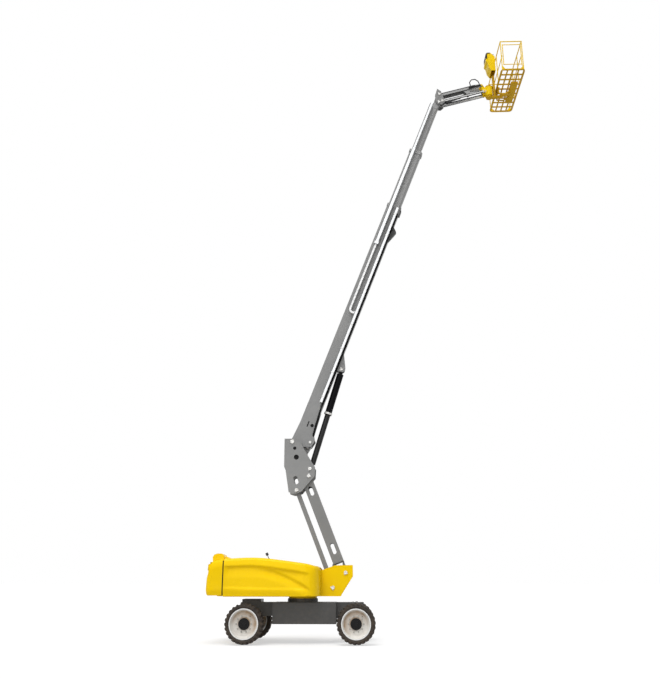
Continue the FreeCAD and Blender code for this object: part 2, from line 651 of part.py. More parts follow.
def cylinder_barrel(length, radius, bore, rod_radius, eye_radius, eye_half, pin_radius, neck):
    """A hydraulic barrel along +X: an eye at the origin, a neck, the tube and its gland at the far end."""
    stalk = rod_x(0, 0, 0, neck + 10, eye_half * 0.95)
    tube = rod_x(0, 0, neck, length - 60, radius)
    gland = rod_x(0, 0, length - 60, length, radius + 8)
    eye = rod_y(0, 0, -eye_half, eye_half, eye_radius)
    whole = fuse([stalk, tube, gland, eye])
    inside = rod_x(0, 0, neck + 20, length - 70, bore)
    throat = rod_x(0, 0, length - 80, length + 1, rod_radius + SEAT)
    pin = rod_y(0, 0, -eye_half - 1, eye_half + 1, pin_radius + PIN_CLEAR)
    return cut(whole, [inside, throat, pin])


def cylinder_rod(piston, reach, radius, bore, eye_radius, eye_half, pin_radius, pin_half, neck):
    """A piston rod along +X: its piston, the stem, a narrower neck and the eye with its own pin stub."""
    stem = rod_x(0, 0, piston, reach - neck, radius)
    stalk = rod_x(0, 0, reach - neck - 10, reach, min(radius, eye_half) * 0.95)
    head = rod_x(0, 0, piston - 25, piston + 25, bore - SEAT)
    eye = rod_y(reach, 0, -eye_half, eye_half, eye_radius)
    pin = rod_y(reach, 0, -pin_half, pin_half, pin_radius)
    return fuse([stem, stalk, head, eye, pin])


LOWER_REACH = distance(CYLINDER_FOOT, CRANK_PIN)
LOWER_LINE = angle_between(CYLINDER_FOOT, CRANK_PIN)
LOWER_BARREL = LOWER_REACH - 250


def add_lower_arm():
    nodes["lower_arm"] = lower_arm()
    nodes["lower_tie_rod"] = tie_rod()
    barrel = cylinder_barrel(LOWER_BARREL, 82, 68, 48, 62, 62, 32, 140)
    stem = cylinder_rod(LOWER_BARREL - 480, LOWER_REACH, 48, 68, 62, 60, 30, WEB_IN - 8, 40)
    nodes["lower_cylinder_barrel"] = along(barrel, CYLINDER_FOOT, LOWER_LINE)
    nodes["lower_cylinder_rod"] = along(stem, CYLINDER_FOOT, LOWER_LINE)


# ---- knuckle between the lower arm and the boom ----
KNUCKLE_OUTLINE = [(-728, 1108), (-549, 1108), (-280, 1031), (53, 464), (187, 257), (174, -5),
                   (-211, -456), (-351, -509), (-451, -509), (-582, -465), (-682, 174), (-728, 277)]
BLIND_HOLES = ((-420, 822, 50), (-369, 555, 75))       # from the lower arm's head, and their radii
SLOT_ENDS = ((-391, -61), (-359, -176))
SLOT_HALF = 62.0
BACK_X = -728.0


def knuckle_plate():
    inner = KNUCKLE_Y - KNUCKLE_PLATE
    side = plate(offsets(ARM_HEAD, KNUCKLE_OUTLINE), inner, KNUCKLE_Y)
    high, low = offsets(ARM_HEAD, SLOT_ENDS)
    sides = [offset(high, (-SLOT_HALF, 0)), offset(high, (SLOT_HALF, 0)),
             offset(low, (SLOT_HALF, 0)), offset(low, (-SLOT_HALF, 0))]
    outer = KNUCKLE_Y + 1
    slot = fuse([rod_y(*high, inner - 1, outer, SLOT_HALF), rod_y(*low, inner - 1, outer, SLOT_HALF),
                 plate(sides, inner - 1, KNUCKLE_Y + 1)])
    cups = []
    holes = [slot]
    for along_x, up, radius in BLIND_HOLES:
        place = offset(ARM_HEAD, (along_x, up))
        cups.append(rod_y(*place, inner - 80, inner + 2, radius + 10))
        holes.append(rod_y(*place, inner - 70, KNUCKLE_Y + 1, radius))
    return cut(fuse([side] + cups), holes)


def knuckle():
    head = KNUCKLE_Y + 18
    side = knuckle_plate()
    stub = rod_y(*ARM_HEAD, STUB_IN, head, PIN_RADIUS)
    luff_head = rod_y(*LUFF_FOOT, KNUCKLE_Y - 5, head, PIN_RADIUS)
    inner = KNUCKLE_Y - KNUCKLE_PLATE
    back_x = ARM_HEAD[0] + BACK_X
    back = box(back_x, back_x + 20, -inner - 5, inner + 5, ARM_HEAD[1] + 289, ARM_HEAD[1] + 1079)
    boom_pin = rod_y(*BOOM_PIVOT, -head, head, 45)
    rod_pin = rod_y(*ROD_HEAD, -head, head, PIN_RADIUS)
    return fuse(both_sides(side) + both_sides(stub) + both_sides(luff_head) + [back, boom_pin, rod_pin])


# ---- boom ----
def boom_outline(half, top, bottom, chamfer):
    return [(-half, top), (half, top), (half, bottom + chamfer), (half - chamfer, bottom),
            (chamfer - half, bottom), (-half, bottom + chamfer)]


def hollow_section(half, top, bottom, chamfer, wall, start, end):
    """A length of box section with its two lower corners bevelled."""
    outer = prism_x(boom_outline(half, top, bottom, chamfer), start, end)
    thin = chamfer - wall * 0.4
    inner = prism_x(boom_outline(half - wall, top - wall, bottom + wall, thin), start - 1, end + 1)
    return outer.cut(inner)


OUTER_START = 450.0
OUTER_CHAMFER = 75.0
MIDDLE_HALF = OUTER_HALF - OUTER_WALL - SECTION_GAP
MIDDLE_TOP = OUTER_TOP - OUTER_WALL - SECTION_GAP
MIDDLE_BOTTOM = OUTER_BOTTOM + OUTER_WALL + SECTION_GAP
MIDDLE_START = 2600.0
FLY_HALF = MIDDLE_HALF - SECTION_WALL - SECTION_GAP
FLY_TOP = MIDDLE_TOP - SECTION_WALL - 30
FLY_BOTTOM = MIDDLE_BOTTOM + SECTION_WALL + 45
FLY_START = 4700.0


def mouth_pads(half, top, bottom, inner_half, inner_top, inner_bottom, start, end):
    """Wear pads inside a section's mouth, standing a hair off the section that slides in it."""
    reach = inner_half - 60
    side_low, side_high = inner_bottom + 120, inner_top - 60
    over = box(start, end, -reach, reach, inner_top + SEAT, top + 2)
    under = box(start, end, -reach + 20, reach - 20, bottom - 2, inner_bottom - SEAT)
    side = box(start, end, inner_half + SEAT, half + 2, side_low, side_high)
    return [over, under] + both_sides(side)


def collar(half, top, bottom, chamfer, grow, start, end):
    outer = prism_x(boom_outline(half + grow, top + grow, bottom - grow, chamfer), start, end)
    return outer.cut(prism_x(boom_outline(half - 1, top - 1, bottom + 1, chamfer), start - 1, end + 1))


ROOT_OUTLINE = [(-88, 10), (-60, 70), (20, 92), (147, 60), (684, OUTER_TOP), (1300, OUTER_TOP),
                (1300, OUTER_BOTTOM + OUTER_CHAMFER), (1180, OUTER_BOTTOM), (449, -496), (369, -544),
                (282, -611), (72, -564), (-13, -340), (-70, -60)]
EYE_LUG_IN = 72.0
EYE_LUG_OUT = 96.0


def boom_root():
    """The left root plate with its pivot boss, its levelling pin and its access holes."""
    side = plate(ROOT_OUTLINE, OUTER_HALF - 2, OUTER_HALF + 25)
    boss = rod_y(0, 0, OUTER_HALF - 60, KNUCKLE_Y - KNUCKLE_PLATE - 8, 75)
    pin = rod_y(187, -486, OUTER_HALF - 30, OUTER_HALF + 45, 38)
    hole = rod_y(681, -357, OUTER_HALF - 90, OUTER_HALF + 30, 52)
    slot = fuse([rod_y(a, -225, OUTER_HALF - 90, OUTER_HALF + 30, 17) for a in (610, 760)]
                + [box(610, 760, OUTER_HALF - 90, OUTER_HALF + 30, -242, -208)])
    return fuse([side, boss, pin]).cut(Part.makeCompound([hole, slot]))


def boom_outer():
    """Built along +X from the boom's pivot; +Z is the boom's upper face."""
    tube = hollow_section(OUTER_HALF, OUTER_TOP, OUTER_BOTTOM, OUTER_CHAMFER, OUTER_WALL,
                          OUTER_START, OUTER_LENGTH)
    holes = [rod_y(681, -357, -200, 200, 52), box(593, 777, -200, 200, -242, -208)]
    tube = cut(tube, holes)
    ring = collar(OUTER_HALF, OUTER_TOP, OUTER_BOTTOM, OUTER_CHAMFER, 10, OUTER_LENGTH - 110, OUTER_LENGTH)
    shoe = box(OUTER_LENGTH - 280, OUTER_LENGTH - 100, -90, 90, OUTER_BOTTOM - 45, OUTER_BOTTOM + 3)
    pads = mouth_pads(OUTER_HALF - OUTER_WALL, OUTER_TOP - OUTER_WALL, OUTER_BOTTOM + OUTER_WALL,
                      MIDDLE_HALF, MIDDLE_TOP, MIDDLE_BOTTOM, OUTER_LENGTH - 160, OUTER_LENGTH - 20)
    heel = plate([(-13, -330), (110, -565), (-153, -518)], -80, 80)
    heel_tie = box(-10, 90, -OUTER_HALF - 5, OUTER_HALF + 5, -500, -440)
    edge = OUTER_BOTTOM + 3
    lug = plate([(2560, edge), (3180, edge), (2770, -640), (2640, -655), (2590, -610)],
                EYE_LUG_IN, EYE_LUG_OUT)
    eye_pin = rod_y(*LUFF_EYE, -EYE_LUG_OUT - 14, EYE_LUG_OUT + 14, 40)
    fin = plate([(7230, OUTER_BOTTOM + 3), (7650, -585), (7700, -560), (7830, OUTER_BOTTOM + 3)], -50, 50)
    root = boom_root()
    solid_parts = [tube, ring, shoe, heel, heel_tie, eye_pin, fin]
    whole = fuse(solid_parts + both_sides(root) + pads + both_sides(lug))
    pivot = rod_y(0, 0, -500, 500, 45 + PIN_CLEAR)
    return on_boom(cut(whole, [pivot]))


TRAY_HALF = 46.0
TRAY_FLOOR = TRAY_T - 42
TRACK_HALF_Y = 36.0
TRACK_LOW_T = TRAY_FLOOR + SEAT + TRACK_HALF_Y
TRACK_TURN = (CONDUIT_T - TRACK_LOW_T) / 2
TRAY_END = 8430.0
CONDUIT_OUTER = 55.0
CONDUIT_WALL = 5.0
FLY_CONDUIT_OUTER = 45.0
FLY_CONDUIT_WALL = 4.0
CONDUIT_START = 6960.0
FLY_CONDUIT_START = 9300.0
TRACK_UPPER_END = 7750.0
TRACK_LOWER_END = 6900.0


def cable_tray():
    """An open channel beside the boom, on small stand-off brackets."""
    y0, y1 = CONDUIT_Y - TRAY_HALF, CONDUIT_Y + TRAY_HALF
    body = box(TRAY_START, TRAY_END, y0, y1, TRAY_FLOOR - 5, TRAY_T + 35)
    room = box(TRAY_START - 1, TRAY_END + 1, y0 + 5, y1 - 5, TRAY_FLOOR, TRAY_T + 40)
    tray = body.cut(room)
    brackets = [box(a - 30, a + 30, y1 - 3, -OUTER_HALF, TRAY_T - 35, TRAY_T + 20)
                for a in (1600, 3200, 4800, 6400, 8000)]
    return on_boom(fuse([tray] + brackets))


def cable_track():
    """The folded cable track: two limbs and the turn that rolls along between them."""
    y0, y1 = CONDUIT_Y - TRACK_HALF_Y, CONDUIT_Y + TRACK_HALF_Y
    centre_s = TRACK_LOOP_S + TRACK_TURN + TRACK_HALF_Y
    centre_t = CONDUIT_T - TRACK_TURN
    outer, inner = TRACK_TURN + TRACK_HALF_Y, TRACK_TURN - TRACK_HALF_Y
    ring = rod_y(centre_s, centre_t, y0, y1, outer).cut(rod_y(centre_s, centre_t, y0 - 1, y1 + 1, inner))
    turn = ring.common(box(centre_s - 500, centre_s, y0 - 1, y1 + 1, centre_t - 500, centre_t + 500))
    upper = box(centre_s, TRACK_UPPER_END, y0, y1, CONDUIT_T - TRACK_HALF_Y, CONDUIT_T + TRACK_HALF_Y)
    lower = box(centre_s, TRACK_LOWER_END, y0, y1, TRACK_LOW_T - TRACK_HALF_Y, TRACK_LOW_T + TRACK_HALF_Y)
    return on_boom(fuse([turn, upper, lower]))


def square_tube(half, wall, start, end):
    outer = box(start, end, CONDUIT_Y - half, CONDUIT_Y + half, CONDUIT_T - half, CONDUIT_T + half)
    thin = half - wall
    return outer.cut(box(start - 1, end + 1, CONDUIT_Y - thin, CONDUIT_Y + thin,
                         CONDUIT_T - thin, CONDUIT_T + thin))


def boom_middle():
    tube = hollow_section(MIDDLE_HALF, MIDDLE_TOP, MIDDLE_BOTTOM, OUTER_CHAMFER - 12, SECTION_WALL,
                          MIDDLE_START, MIDDLE_END)
    ring = collar(MIDDLE_HALF, MIDDLE_TOP, MIDDLE_BOTTOM, OUTER_CHAMFER - 12, 20,
                  MIDDLE_END - 110, MIDDLE_END)
    pads = mouth_pads(MIDDLE_HALF - SECTION_WALL, MIDDLE_TOP - SECTION_WALL, MIDDLE_BOTTOM + SECTION_WALL,
                      FLY_HALF, FLY_TOP, FLY_BOTTOM, MIDDLE_END - 150, MIDDLE_END - 20)
    return on_boom(fuse([tube, ring] + pads))


def middle_conduit():
    """The galvanised conduit that the middle section pushes along beside the outer boom."""
    tube = square_tube(CONDUIT_OUTER, CONDUIT_WALL, CONDUIT_START, MIDDLE_END - 20)
    inner_face = CONDUIT_Y + CONDUIT_OUTER
    arm = box(MIDDLE_END - 95, MIDDLE_END - 35, inner_face - 2, -MIDDLE_HALF - 20,
              CONDUIT_T - 45, CONDUIT_T + 45)
    clamp = square_tube(CONDUIT_OUTER + 10, 11, CONDUIT_START, CONDUIT_START + 90)
    clamp = clamp.common(box(0, MIDDLE_END, CONDUIT_Y - 100, inner_face - 1,
                             CONDUIT_T - 100, CONDUIT_T + 100))
    return on_boom(fuse([tube, arm, clamp]))


HEAD_PIN_RADIUS = 35.0
HEAD_PROUD = 3.0                    # how far the fly's head plates stand out of its sides


def fly_conduit():
    tube = square_tube(FLY_CONDUIT_OUTER, FLY_CONDUIT_WALL, FLY_CONDUIT_START, FLY_END - 40)
    inner_face = CONDUIT_Y + FLY_CONDUIT_OUTER
    arm = box(FLY_END - 110, FLY_END - 60, inner_face - 2, -FLY_HALF - HEAD_PROUD,
              CONDUIT_T - 30, CONDUIT_T + 30)
    return on_boom(fuse([tube, arm]))


def boom_frame_of(point):
    """A world point given along the boom and above it."""
    cosine, sine = direction(BOOM_ANGLE)
    dx, dz = point[0] - BOOM_PIVOT[0], point[1] - BOOM_PIVOT[1]
    return dx * cosine + dz * sine, dz * cosine - dx * sine




def boom_fly():
    tube = hollow_section(FLY_HALF, FLY_TOP, FLY_BOTTOM, OUTER_CHAMFER - 25, SECTION_WALL,
                          FLY_START, FLY_END)
    pin_s, pin_t = boom_frame_of(FLY_PIN)
    head = plate([(FLY_END - 120, FLY_TOP), (FLY_END + 10, FLY_TOP), (pin_s + 45, pin_t + 50),
                  (pin_s + 50, pin_t - 35), (pin_s - 40, pin_t - 50), (FLY_END - 120, FLY_BOTTOM + 40)],
                 FLY_HALF - 22, FLY_HALF + HEAD_PROUD)
    pin = rod_y(pin_s, pin_t, -212, 212, HEAD_PIN_RADIUS)
    return on_boom(fuse([tube, pin] + both_sides(head)))


# ---- luff cylinder: barrel on the boom, rod down to the knuckle ----
LUFF_TOP = boom_point(*LUFF_EYE)
LUFF_LINE = angle_between(LUFF_TOP, LUFF_FOOT)
LUFF_REACH = distance(LUFF_TOP, LUFF_FOOT)
LUFF_BARREL = 1476.0


def add_boom():
    nodes["knuckle"] = knuckle()
    nodes["boom_outer"] = boom_outer()
    nodes["cable_tray"] = cable_tray()
    nodes["cable_track"] = cable_track()
    nodes["boom_middle"] = boom_middle()
    nodes["middle_conduit"] = middle_conduit()
    nodes["boom_fly"] = boom_fly()
    nodes["fly_conduit"] = fly_conduit()
    barrel = cylinder_barrel(LUFF_BARREL, 104, 94, 84, 78, 64, 40, 140)
    stem = cylinder_rod(LUFF_BARREL - 200, LUFF_REACH, 84, 94, 66, 60, 42, 110, 180)
    nodes["luff_cylinder_barrel"] = along(barrel, LUFF_TOP, LUFF_LINE)
    nodes["luff_cylinder_rod"] = along(stem, LUFF_TOP, LUFF_LINE)


# ---- jib ----
BRACKET_IN = 170.0
BRACKET_OUT = 195.0
JIB_PIN_RADIUS = 30.0
JIB_HALF = 90.0
JIB_TOP = 88.0
JIB_BOTTOM = -42.0
JIB_EYE = (1000.0, -171.0)
LINK_IN = 132.0
LINK_OUT = 160.0
EYE_PLATE_IN = 60.0
END_LUG_IN = JIB_HALF + 2
END_LUG_OUT = 117.0


def jib_bracket():
    outline = [(-60, -70), (80, -90), (185, 0), (175, 110), (90, 380), (80, 440),
               (-48, 543), (-135, 260), (-110, 80)]
    side = plate(offsets(FLY_PIN, outline), BRACKET_IN, BRACKET_OUT)
    lower = rod_y(*JIB_LOWER, -BRACKET_OUT - 14, BRACKET_OUT + 14, JIB_PIN_RADIUS)
    upper = rod_y(*JIB_UPPER, -BRACKET_OUT - 14, BRACKET_OUT + 14, JIB_PIN_RADIUS)
    whole = fuse(both_sides(side) + [lower, upper])
    return cut(whole, [rod_y(*FLY_PIN, -300, 300, HEAD_PIN_RADIUS + PIN_CLEAR)])


def jib_upper_beam():
    """A channel open underneath, built along +X from its pin."""
    body = box(90, 1190, -JIB_HALF, JIB_HALF, JIB_BOTTOM, JIB_TOP)
    room = box(89, 1191, 10 - JIB_HALF, JIB_HALF - 10, JIB_BOTTOM - 1, JIB_TOP - 10)
    channel = body.cut(room)
    root_plate = plate([(-40, -30), (-40, 35), (0, 60), (160, JIB_TOP - 5), (160, JIB_BOTTOM + 5), (0, -55)],
                       JIB_HALF - 30, JIB_HALF)
    root_boss = rod_y(0, 0, -BRACKET_IN + 8, BRACKET_IN - 8, 52)
    end = plate([(1060, JIB_TOP - 4), (1250, 85), (JIB_LENGTH, 50), (JIB_LENGTH + 50, 0), (JIB_LENGTH, -50),
                 (1400, -55), (1200, JIB_BOTTOM), (1060, JIB_BOTTOM)], JIB_HALF - 3, END_LUG_OUT)
    lug = plate([(860, JIB_BOTTOM + 5), (1140, JIB_BOTTOM + 5), (JIB_EYE[0] + 45, JIB_EYE[1] - 40),
                 (JIB_EYE[0] - 30, JIB_EYE[1] - 45)], EYE_PLATE_IN, JIB_HALF - 8)
    whole = fuse([channel, root_boss] + both_sides(root_plate) + both_sides(end) + both_sides(lug))
    bore = JIB_PIN_RADIUS + PIN_CLEAR
    return along(cut(whole, [rod_y(0, 0, -300, 300, bore), rod_y(JIB_LENGTH, 0, -300, 300, bore)]),
                 JIB_UPPER, JIB_ANGLE)


def jib_lower_link():
    """Two flat bars, one each side of the jib cylinder."""
    side = box(0, JIB_LENGTH, LINK_IN, LINK_OUT, -42, 42)
    ends = [rod_y(a, 0, LINK_IN, LINK_OUT, 52) for a in (0, JIB_LENGTH)]
    bores = [rod_y(a, 0, LINK_IN - 1, LINK_OUT + 1, JIB_PIN_RADIUS + PIN_CLEAR) for a in (0, JIB_LENGTH)]
    bar_shape = cut(fuse([side] + ends), bores)
    return along(Part.makeCompound(both_sides(bar_shape)), JIB_LOWER, JIB_ANGLE)


def jib_pipe():
    """A pipe run hung under the right link, turned up at both ends."""
    y = -(LINK_IN + LINK_OUT) / 2
    points = [(90, y, -42), (90, y, -125), (1400, y, -125), (1400, y, -42)]
    return along(fuse(tube_loop(points, 18)), JIB_LOWER, JIB_ANGLE)


def jib_hose():
    """A stiff hose arched over the top edge of the beam's right end lug."""
    y = -(END_LUG_IN + END_LUG_OUT) / 2
    points = [(1160, y, 88.7), (1170, y, 225), (1260, y, 310),
              (1390, y, 300), (1470, y, 195), (1480, y, 59.8)]
    return along(fuse(tube_loop(points, 16)), JIB_UPPER, JIB_ANGLE)


JIB_EYE_COS, JIB_EYE_SIN = direction(JIB_ANGLE)
JIB_EYE_WORLD = (JIB_UPPER[0] + JIB_EYE[0] * JIB_EYE_COS - JIB_EYE[1] * JIB_EYE_SIN,
                 JIB_UPPER[1] + JIB_EYE[0] * JIB_EYE_SIN + JIB_EYE[1] * JIB_EYE_COS)
JIB_REACH = distance(JIB_LOWER, JIB_EYE_WORLD)
JIB_LINE = angle_between(JIB_LOWER, JIB_EYE_WORLD)
JIB_BARREL = 690.0


def add_jib():
    nodes["jib_bracket"] = jib_bracket()
    nodes["jib_upper_beam"] = jib_upper_beam()
    nodes["jib_lower_link"] = jib_lower_link()
    nodes["jib_pipe"] = jib_pipe()
    nodes["jib_hose"] = jib_hose()
    barrel = cylinder_barrel(JIB_BARREL, 40, 33, 22, 50, 50, JIB_PIN_RADIUS, 62)
    stem = cylinder_rod(JIB_BARREL - 345, JIB_REACH, 22, 33, 36, 30, 20, EYE_PLATE_IN - 8, 30)
    nodes["jib_cylinder_barrel"] = along(barrel, JIB_LOWER, JIB_LINE)
    nodes["jib_cylinder_rod"] = along(stem, JIB_LOWER, JIB_LINE)


# ---- platform ----
SUPPORT_IN = 52.0
SUPPORT_OUT = 82.0
ROTATOR_LOW = JIB_UPPER_END[1] - 391
ROTATOR_HIGH = JIB_UPPER_END[1] - 51
FLOOR_DEPTH = 35.0
RAIL_INSET = 50.0
RAIL_TOP_Z = FLOOR_Z + RAIL_HEIGHT
RAIL_MID_Z = FLOOR_Z + 580.0
POST_X0 = CAGE_X0 - 70


def platform_support():
    """The levelled head at the jib's end, with the housing that the platform turns on."""
    outline = [(-59, -11), (-29, 49), (31, 59), (111, -66), (221, -71), (221, -381),
               (81, -341), (31, -281), (6, -131)]
    side = plate(offsets(JIB_UPPER_END, outline), SUPPORT_IN, SUPPORT_OUT)
    housing = rod_z(ROTATOR_X, 0, ROTATOR_LOW, ROTATOR_HIGH, 130)
    upper = rod_y(*JIB_UPPER_END, -END_LUG_OUT - 12, END_LUG_OUT + 12, JIB_PIN_RADIUS)
    lower = rod_y(*JIB_LOWER_END, -LINK_OUT - 14, LINK_OUT + 14, JIB_PIN_RADIUS)
    return fuse([housing, upper, lower] + both_sides(side))


def platform_frame():
    """The turning frame: an arm above and below the housing, a post, and the beams under the floor."""
    under = FLOOR_Z - FLOOR_DEPTH
    top_hub = rod_z(ROTATOR_X, 0, ROTATOR_HIGH + SEAT, ROTATOR_HIGH + 60, 110)
    top_arm = box(ROTATOR_X, POST_X0 + 10, -60, 60, ROTATOR_HIGH + 8, ROTATOR_HIGH + 60)
    low_hub = rod_z(ROTATOR_X, 0, ROTATOR_LOW - 70, ROTATOR_LOW - SEAT, 110)
    low_arm = box(ROTATOR_X, POST_X0 + 10, -60, 60, ROTATOR_LOW - 70, ROTATOR_LOW - 10)
    post = box(POST_X0, CAGE_X0, -60, 60, ROTATOR_LOW - 70, FLOOR_Z + 590)
    tip = CAGE_X0 + 590
    keel = plate([(POST_X0 + 5, ROTATOR_LOW - 70), (POST_X0 + 200, ROTATOR_LOW - 60), (tip, under - 60),
                  (tip, under), (tip - 80, under), (POST_X0 + 200, ROTATOR_LOW + 20),
                  (POST_X0 + 5, ROTATOR_LOW)],
                 -40, 40)
    beam = box(CAGE_X0 + 450, CAGE_X0 + 680, -560, 560, under - 80, under)
    loops = []
    for y in (-190, 190):
        loops += tube_loop([(CAGE_X0 + 70, y, under), (CAGE_X0 + 90, y, under - 205),
                            (CAGE_X0 + 310, y, under - 225), (CAGE_X0 + 530, y, under - 50)], 24)
    spreader = box(CAGE_X0 + 50, CAGE_X0 + 110, -260, 260, under - 50, under)
    return fuse([top_hub, top_arm, low_hub, low_arm, post, keel, beam, spreader] + loops)


def cage_floor():
    """A grating with rounded corners: rectangular openings in four columns and nine rows."""
    corners = [(CAGE_X0, -CAGE_HALF), (CAGE_X1, -CAGE_HALF), (CAGE_X1, CAGE_HALF), (CAGE_X0, CAGE_HALF)]
    plan = rounded(corners, 140)
    floor = prism_z(plan, FLOOR_Z - FLOOR_DEPTH, FLOOR_Z)
    columns, rows, border, rib = 4, 9, 58.0, 42.0
    width = (CAGE_X1 - CAGE_X0 - 2 * border - (columns - 1) * rib) / columns
    depth = (2 * CAGE_HALF - 2 * border - (rows - 1) * rib) / rows
    holes = []
    for i in range(columns):
        x = CAGE_X0 + border + i * (width + rib)
        for j in range(rows):
            y = -CAGE_HALF + border + j * (depth + rib)
            holes.append(box(x, x + width, y, y + depth, FLOOR_Z - FLOOR_DEPTH - 1, FLOOR_Z + 1))
    return cut(floor, holes)


RAIL_X0 = CAGE_X0 + RAIL_INSET
RAIL_X1 = CAGE_X1 - RAIL_INSET
RAIL_Y = CAGE_HALF - RAIL_INSET
GATE_X = RAIL_X1 - 45
GATE_LOW_Z = FLOOR_Z + 210
GATE_HIGH_Z = RAIL_TOP_Z - 130
MID_POST_Y = 400.0
POST_RADIUS = 15.5
MID_RAIL_RADIUS = 14.0
GATE_RADIUS = 15.0
GATE_PIN_RADIUS = 8.0
ANCHOR_Z = FLOOR_Z + 380


def cage_top_rail():
    corners = [(RAIL_X0, -RAIL_Y), (RAIL_X1, -RAIL_Y), (RAIL_X1, RAIL_Y), (RAIL_X0, RAIL_Y)]
    return fuse(tube_loop([(x, y, RAIL_TOP_Z) for x, y in corners + corners[:2]], RAIL_RADIUS))


def cage_mid_rail():
    """The middle rail, bent round three sides inside the posts; the right end is the way in."""
    inset = POST_RADIUS + MID_RAIL_RADIUS + SEAT
    x0, x1, y1 = RAIL_X0 + inset, RAIL_X1 - inset, RAIL_Y - inset
    bend = 90.0
    route = [(x0, 25 - RAIL_Y, RAIL_MID_Z), (x0, y1 - bend, RAIL_MID_Z), (x0 + bend, y1, RAIL_MID_Z),
             (x1 - bend, y1, RAIL_MID_Z), (x1, y1 - bend, RAIL_MID_Z), (x1, 25 - RAIL_Y, RAIL_MID_Z)]
    return fuse(tube_loop(route, MID_RAIL_RADIUS))


def cage_posts():
    """Round posts from the floor to the underside of the top rail."""
    top = RAIL_TOP_Z - RAIL_RADIUS * BALL - SEAT
    places = [(x, y) for x in (RAIL_X0, RAIL_X1) for y in (-RAIL_Y, -MID_POST_Y, MID_POST_Y, RAIL_Y)]
    return Part.makeCompound([rod_z(x, y, FLOOR_Z, top, POST_RADIUS) for x, y in places])


def corner_gussets():
    """A triangular plate at the foot of each corner post."""
    pieces = []
    for x, way in ((RAIL_X0 + POST_RADIUS + SEAT, 1), (RAIL_X1 - POST_RADIUS - SEAT, -1)):
        for y in (-RAIL_Y, RAIL_Y):
            pieces.append(plate([(x, FLOOR_Z), (x + way * 110, FLOOR_Z), (x, FLOOR_Z + 150)], y - 4, y + 4))
    return Part.makeCompound(pieces)


def gate_brackets():
    """Two brackets on the outer corner post, each with a pin for the gate."""
    edge = RAIL_X1 - POST_RADIUS - SEAT
    low = fuse([box(GATE_X - 14, edge, -RAIL_Y - 12, -RAIL_Y + 12, GATE_LOW_Z - 50, GATE_LOW_Z - 40),
                rod_z(GATE_X, -RAIL_Y, GATE_LOW_Z - 45, GATE_LOW_Z - 15, GATE_PIN_RADIUS)])
    high = fuse([box(GATE_X - 14, edge, -RAIL_Y - 12, -RAIL_Y + 12, GATE_HIGH_Z + 20, GATE_HIGH_Z + 30),
                 rod_z(GATE_X, -RAIL_Y, GATE_HIGH_Z - 5, GATE_HIGH_Z + 25, GATE_PIN_RADIUS)])
    return Part.makeCompound([low, high])


def harness_anchors():
    """Drilled plates welded to the outer middle posts, for a fall-arrest hook."""
    edge = RAIL_X1 - POST_RADIUS - SEAT
    pieces = []
    for y in (-MID_POST_Y, MID_POST_Y):
        tab = box(edge - 60, edge, y - 6, y + 6, ANCHOR_Z - 35, ANCHOR_Z + 35)
        pieces.append(tab.cut(rod_y(edge - 32, ANCHOR_Z, y - 7, y + 7, ANCHOR_RADIUS)))
    return Part.makeCompound(pieces)


def cage_gate():
    """The swing gate: a tube frame whose hinge stile turns on two pins beside the outer post."""
    r = GATE_RADIUS
    latch_x = RAIL_X0 + 60
    stile = rod_z(GATE_X, -RAIL_Y, GATE_LOW_Z - 40 + SEAT, GATE_HIGH_Z + 20 - SEAT, r)
    bars = [bar((latch_x, -RAIL_Y, z), (GATE_X, -RAIL_Y, z), r - 2) for z in (GATE_LOW_Z, GATE_HIGH_Z)]
    latch = rod_z(latch_x, -RAIL_Y, GATE_LOW_Z - r, GATE_HIGH_Z + r, r)
    whole = fuse([stile, latch] + bars)
    bore = GATE_PIN_RADIUS + PIN_CLEAR
    return cut(whole, [rod_z(GATE_X, -RAIL_Y, GATE_LOW_Z - 60, GATE_LOW_Z - 10, bore),
                       rod_z(GATE_X, -RAIL_Y, GATE_HIGH_Z - 10, GATE_HIGH_Z + 40, bore)])


def control_box():
    """The console hung on the boom side of the top rail: a thin case, open underneath."""
    face = RAIL_X0 - RAIL_RADIUS - SEAT
    place = (face, FLOOR_Z)
    outline = [(-273, 1390), (-153, 1425), (0, 1270), (0, 680), (-153, 680), (-233, 820),
               (-273, 1040), (-321, 1080),
               (-315, 1170)]
    room = [(-266, 1384), (-153, 1418), (-6, 1266), (-6, 679), (-149, 679), (-227, 822), (-267, 1042),
            (-314, 1082), (-308, 1168)]
    return plate(offsets(place, outline), -240, 200).cut(plate(offsets(place, room), -234, 194))


def add_platform():
    nodes["platform_support"] = platform_support()
    nodes["platform_frame"] = platform_frame()
    nodes["cage_floor"] = cage_floor()
    nodes["cage_top_rail"] = cage_top_rail()
    nodes["cage_mid_rail"] = cage_mid_rail()
    nodes["cage_posts"] = cage_posts()
    nodes["corner_gussets"] = corner_gussets()
    nodes["gate_brackets"] = gate_brackets()
    nodes["harness_anchors"] = harness_anchors()
    nodes["cage_gate"] = cage_gate()
    nodes["control_box"] = control_box()


add_running_gear()
add_turret()
add_lower_arm()
add_boom()
add_jib()
add_platform()

os.makedirs("parts", exist_ok=True)
for name, shape in nodes.items():
    shape.exportStep("parts/" + name + ".step")
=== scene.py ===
import math

import bmesh
import bpy
from mathutils import Matrix, Vector


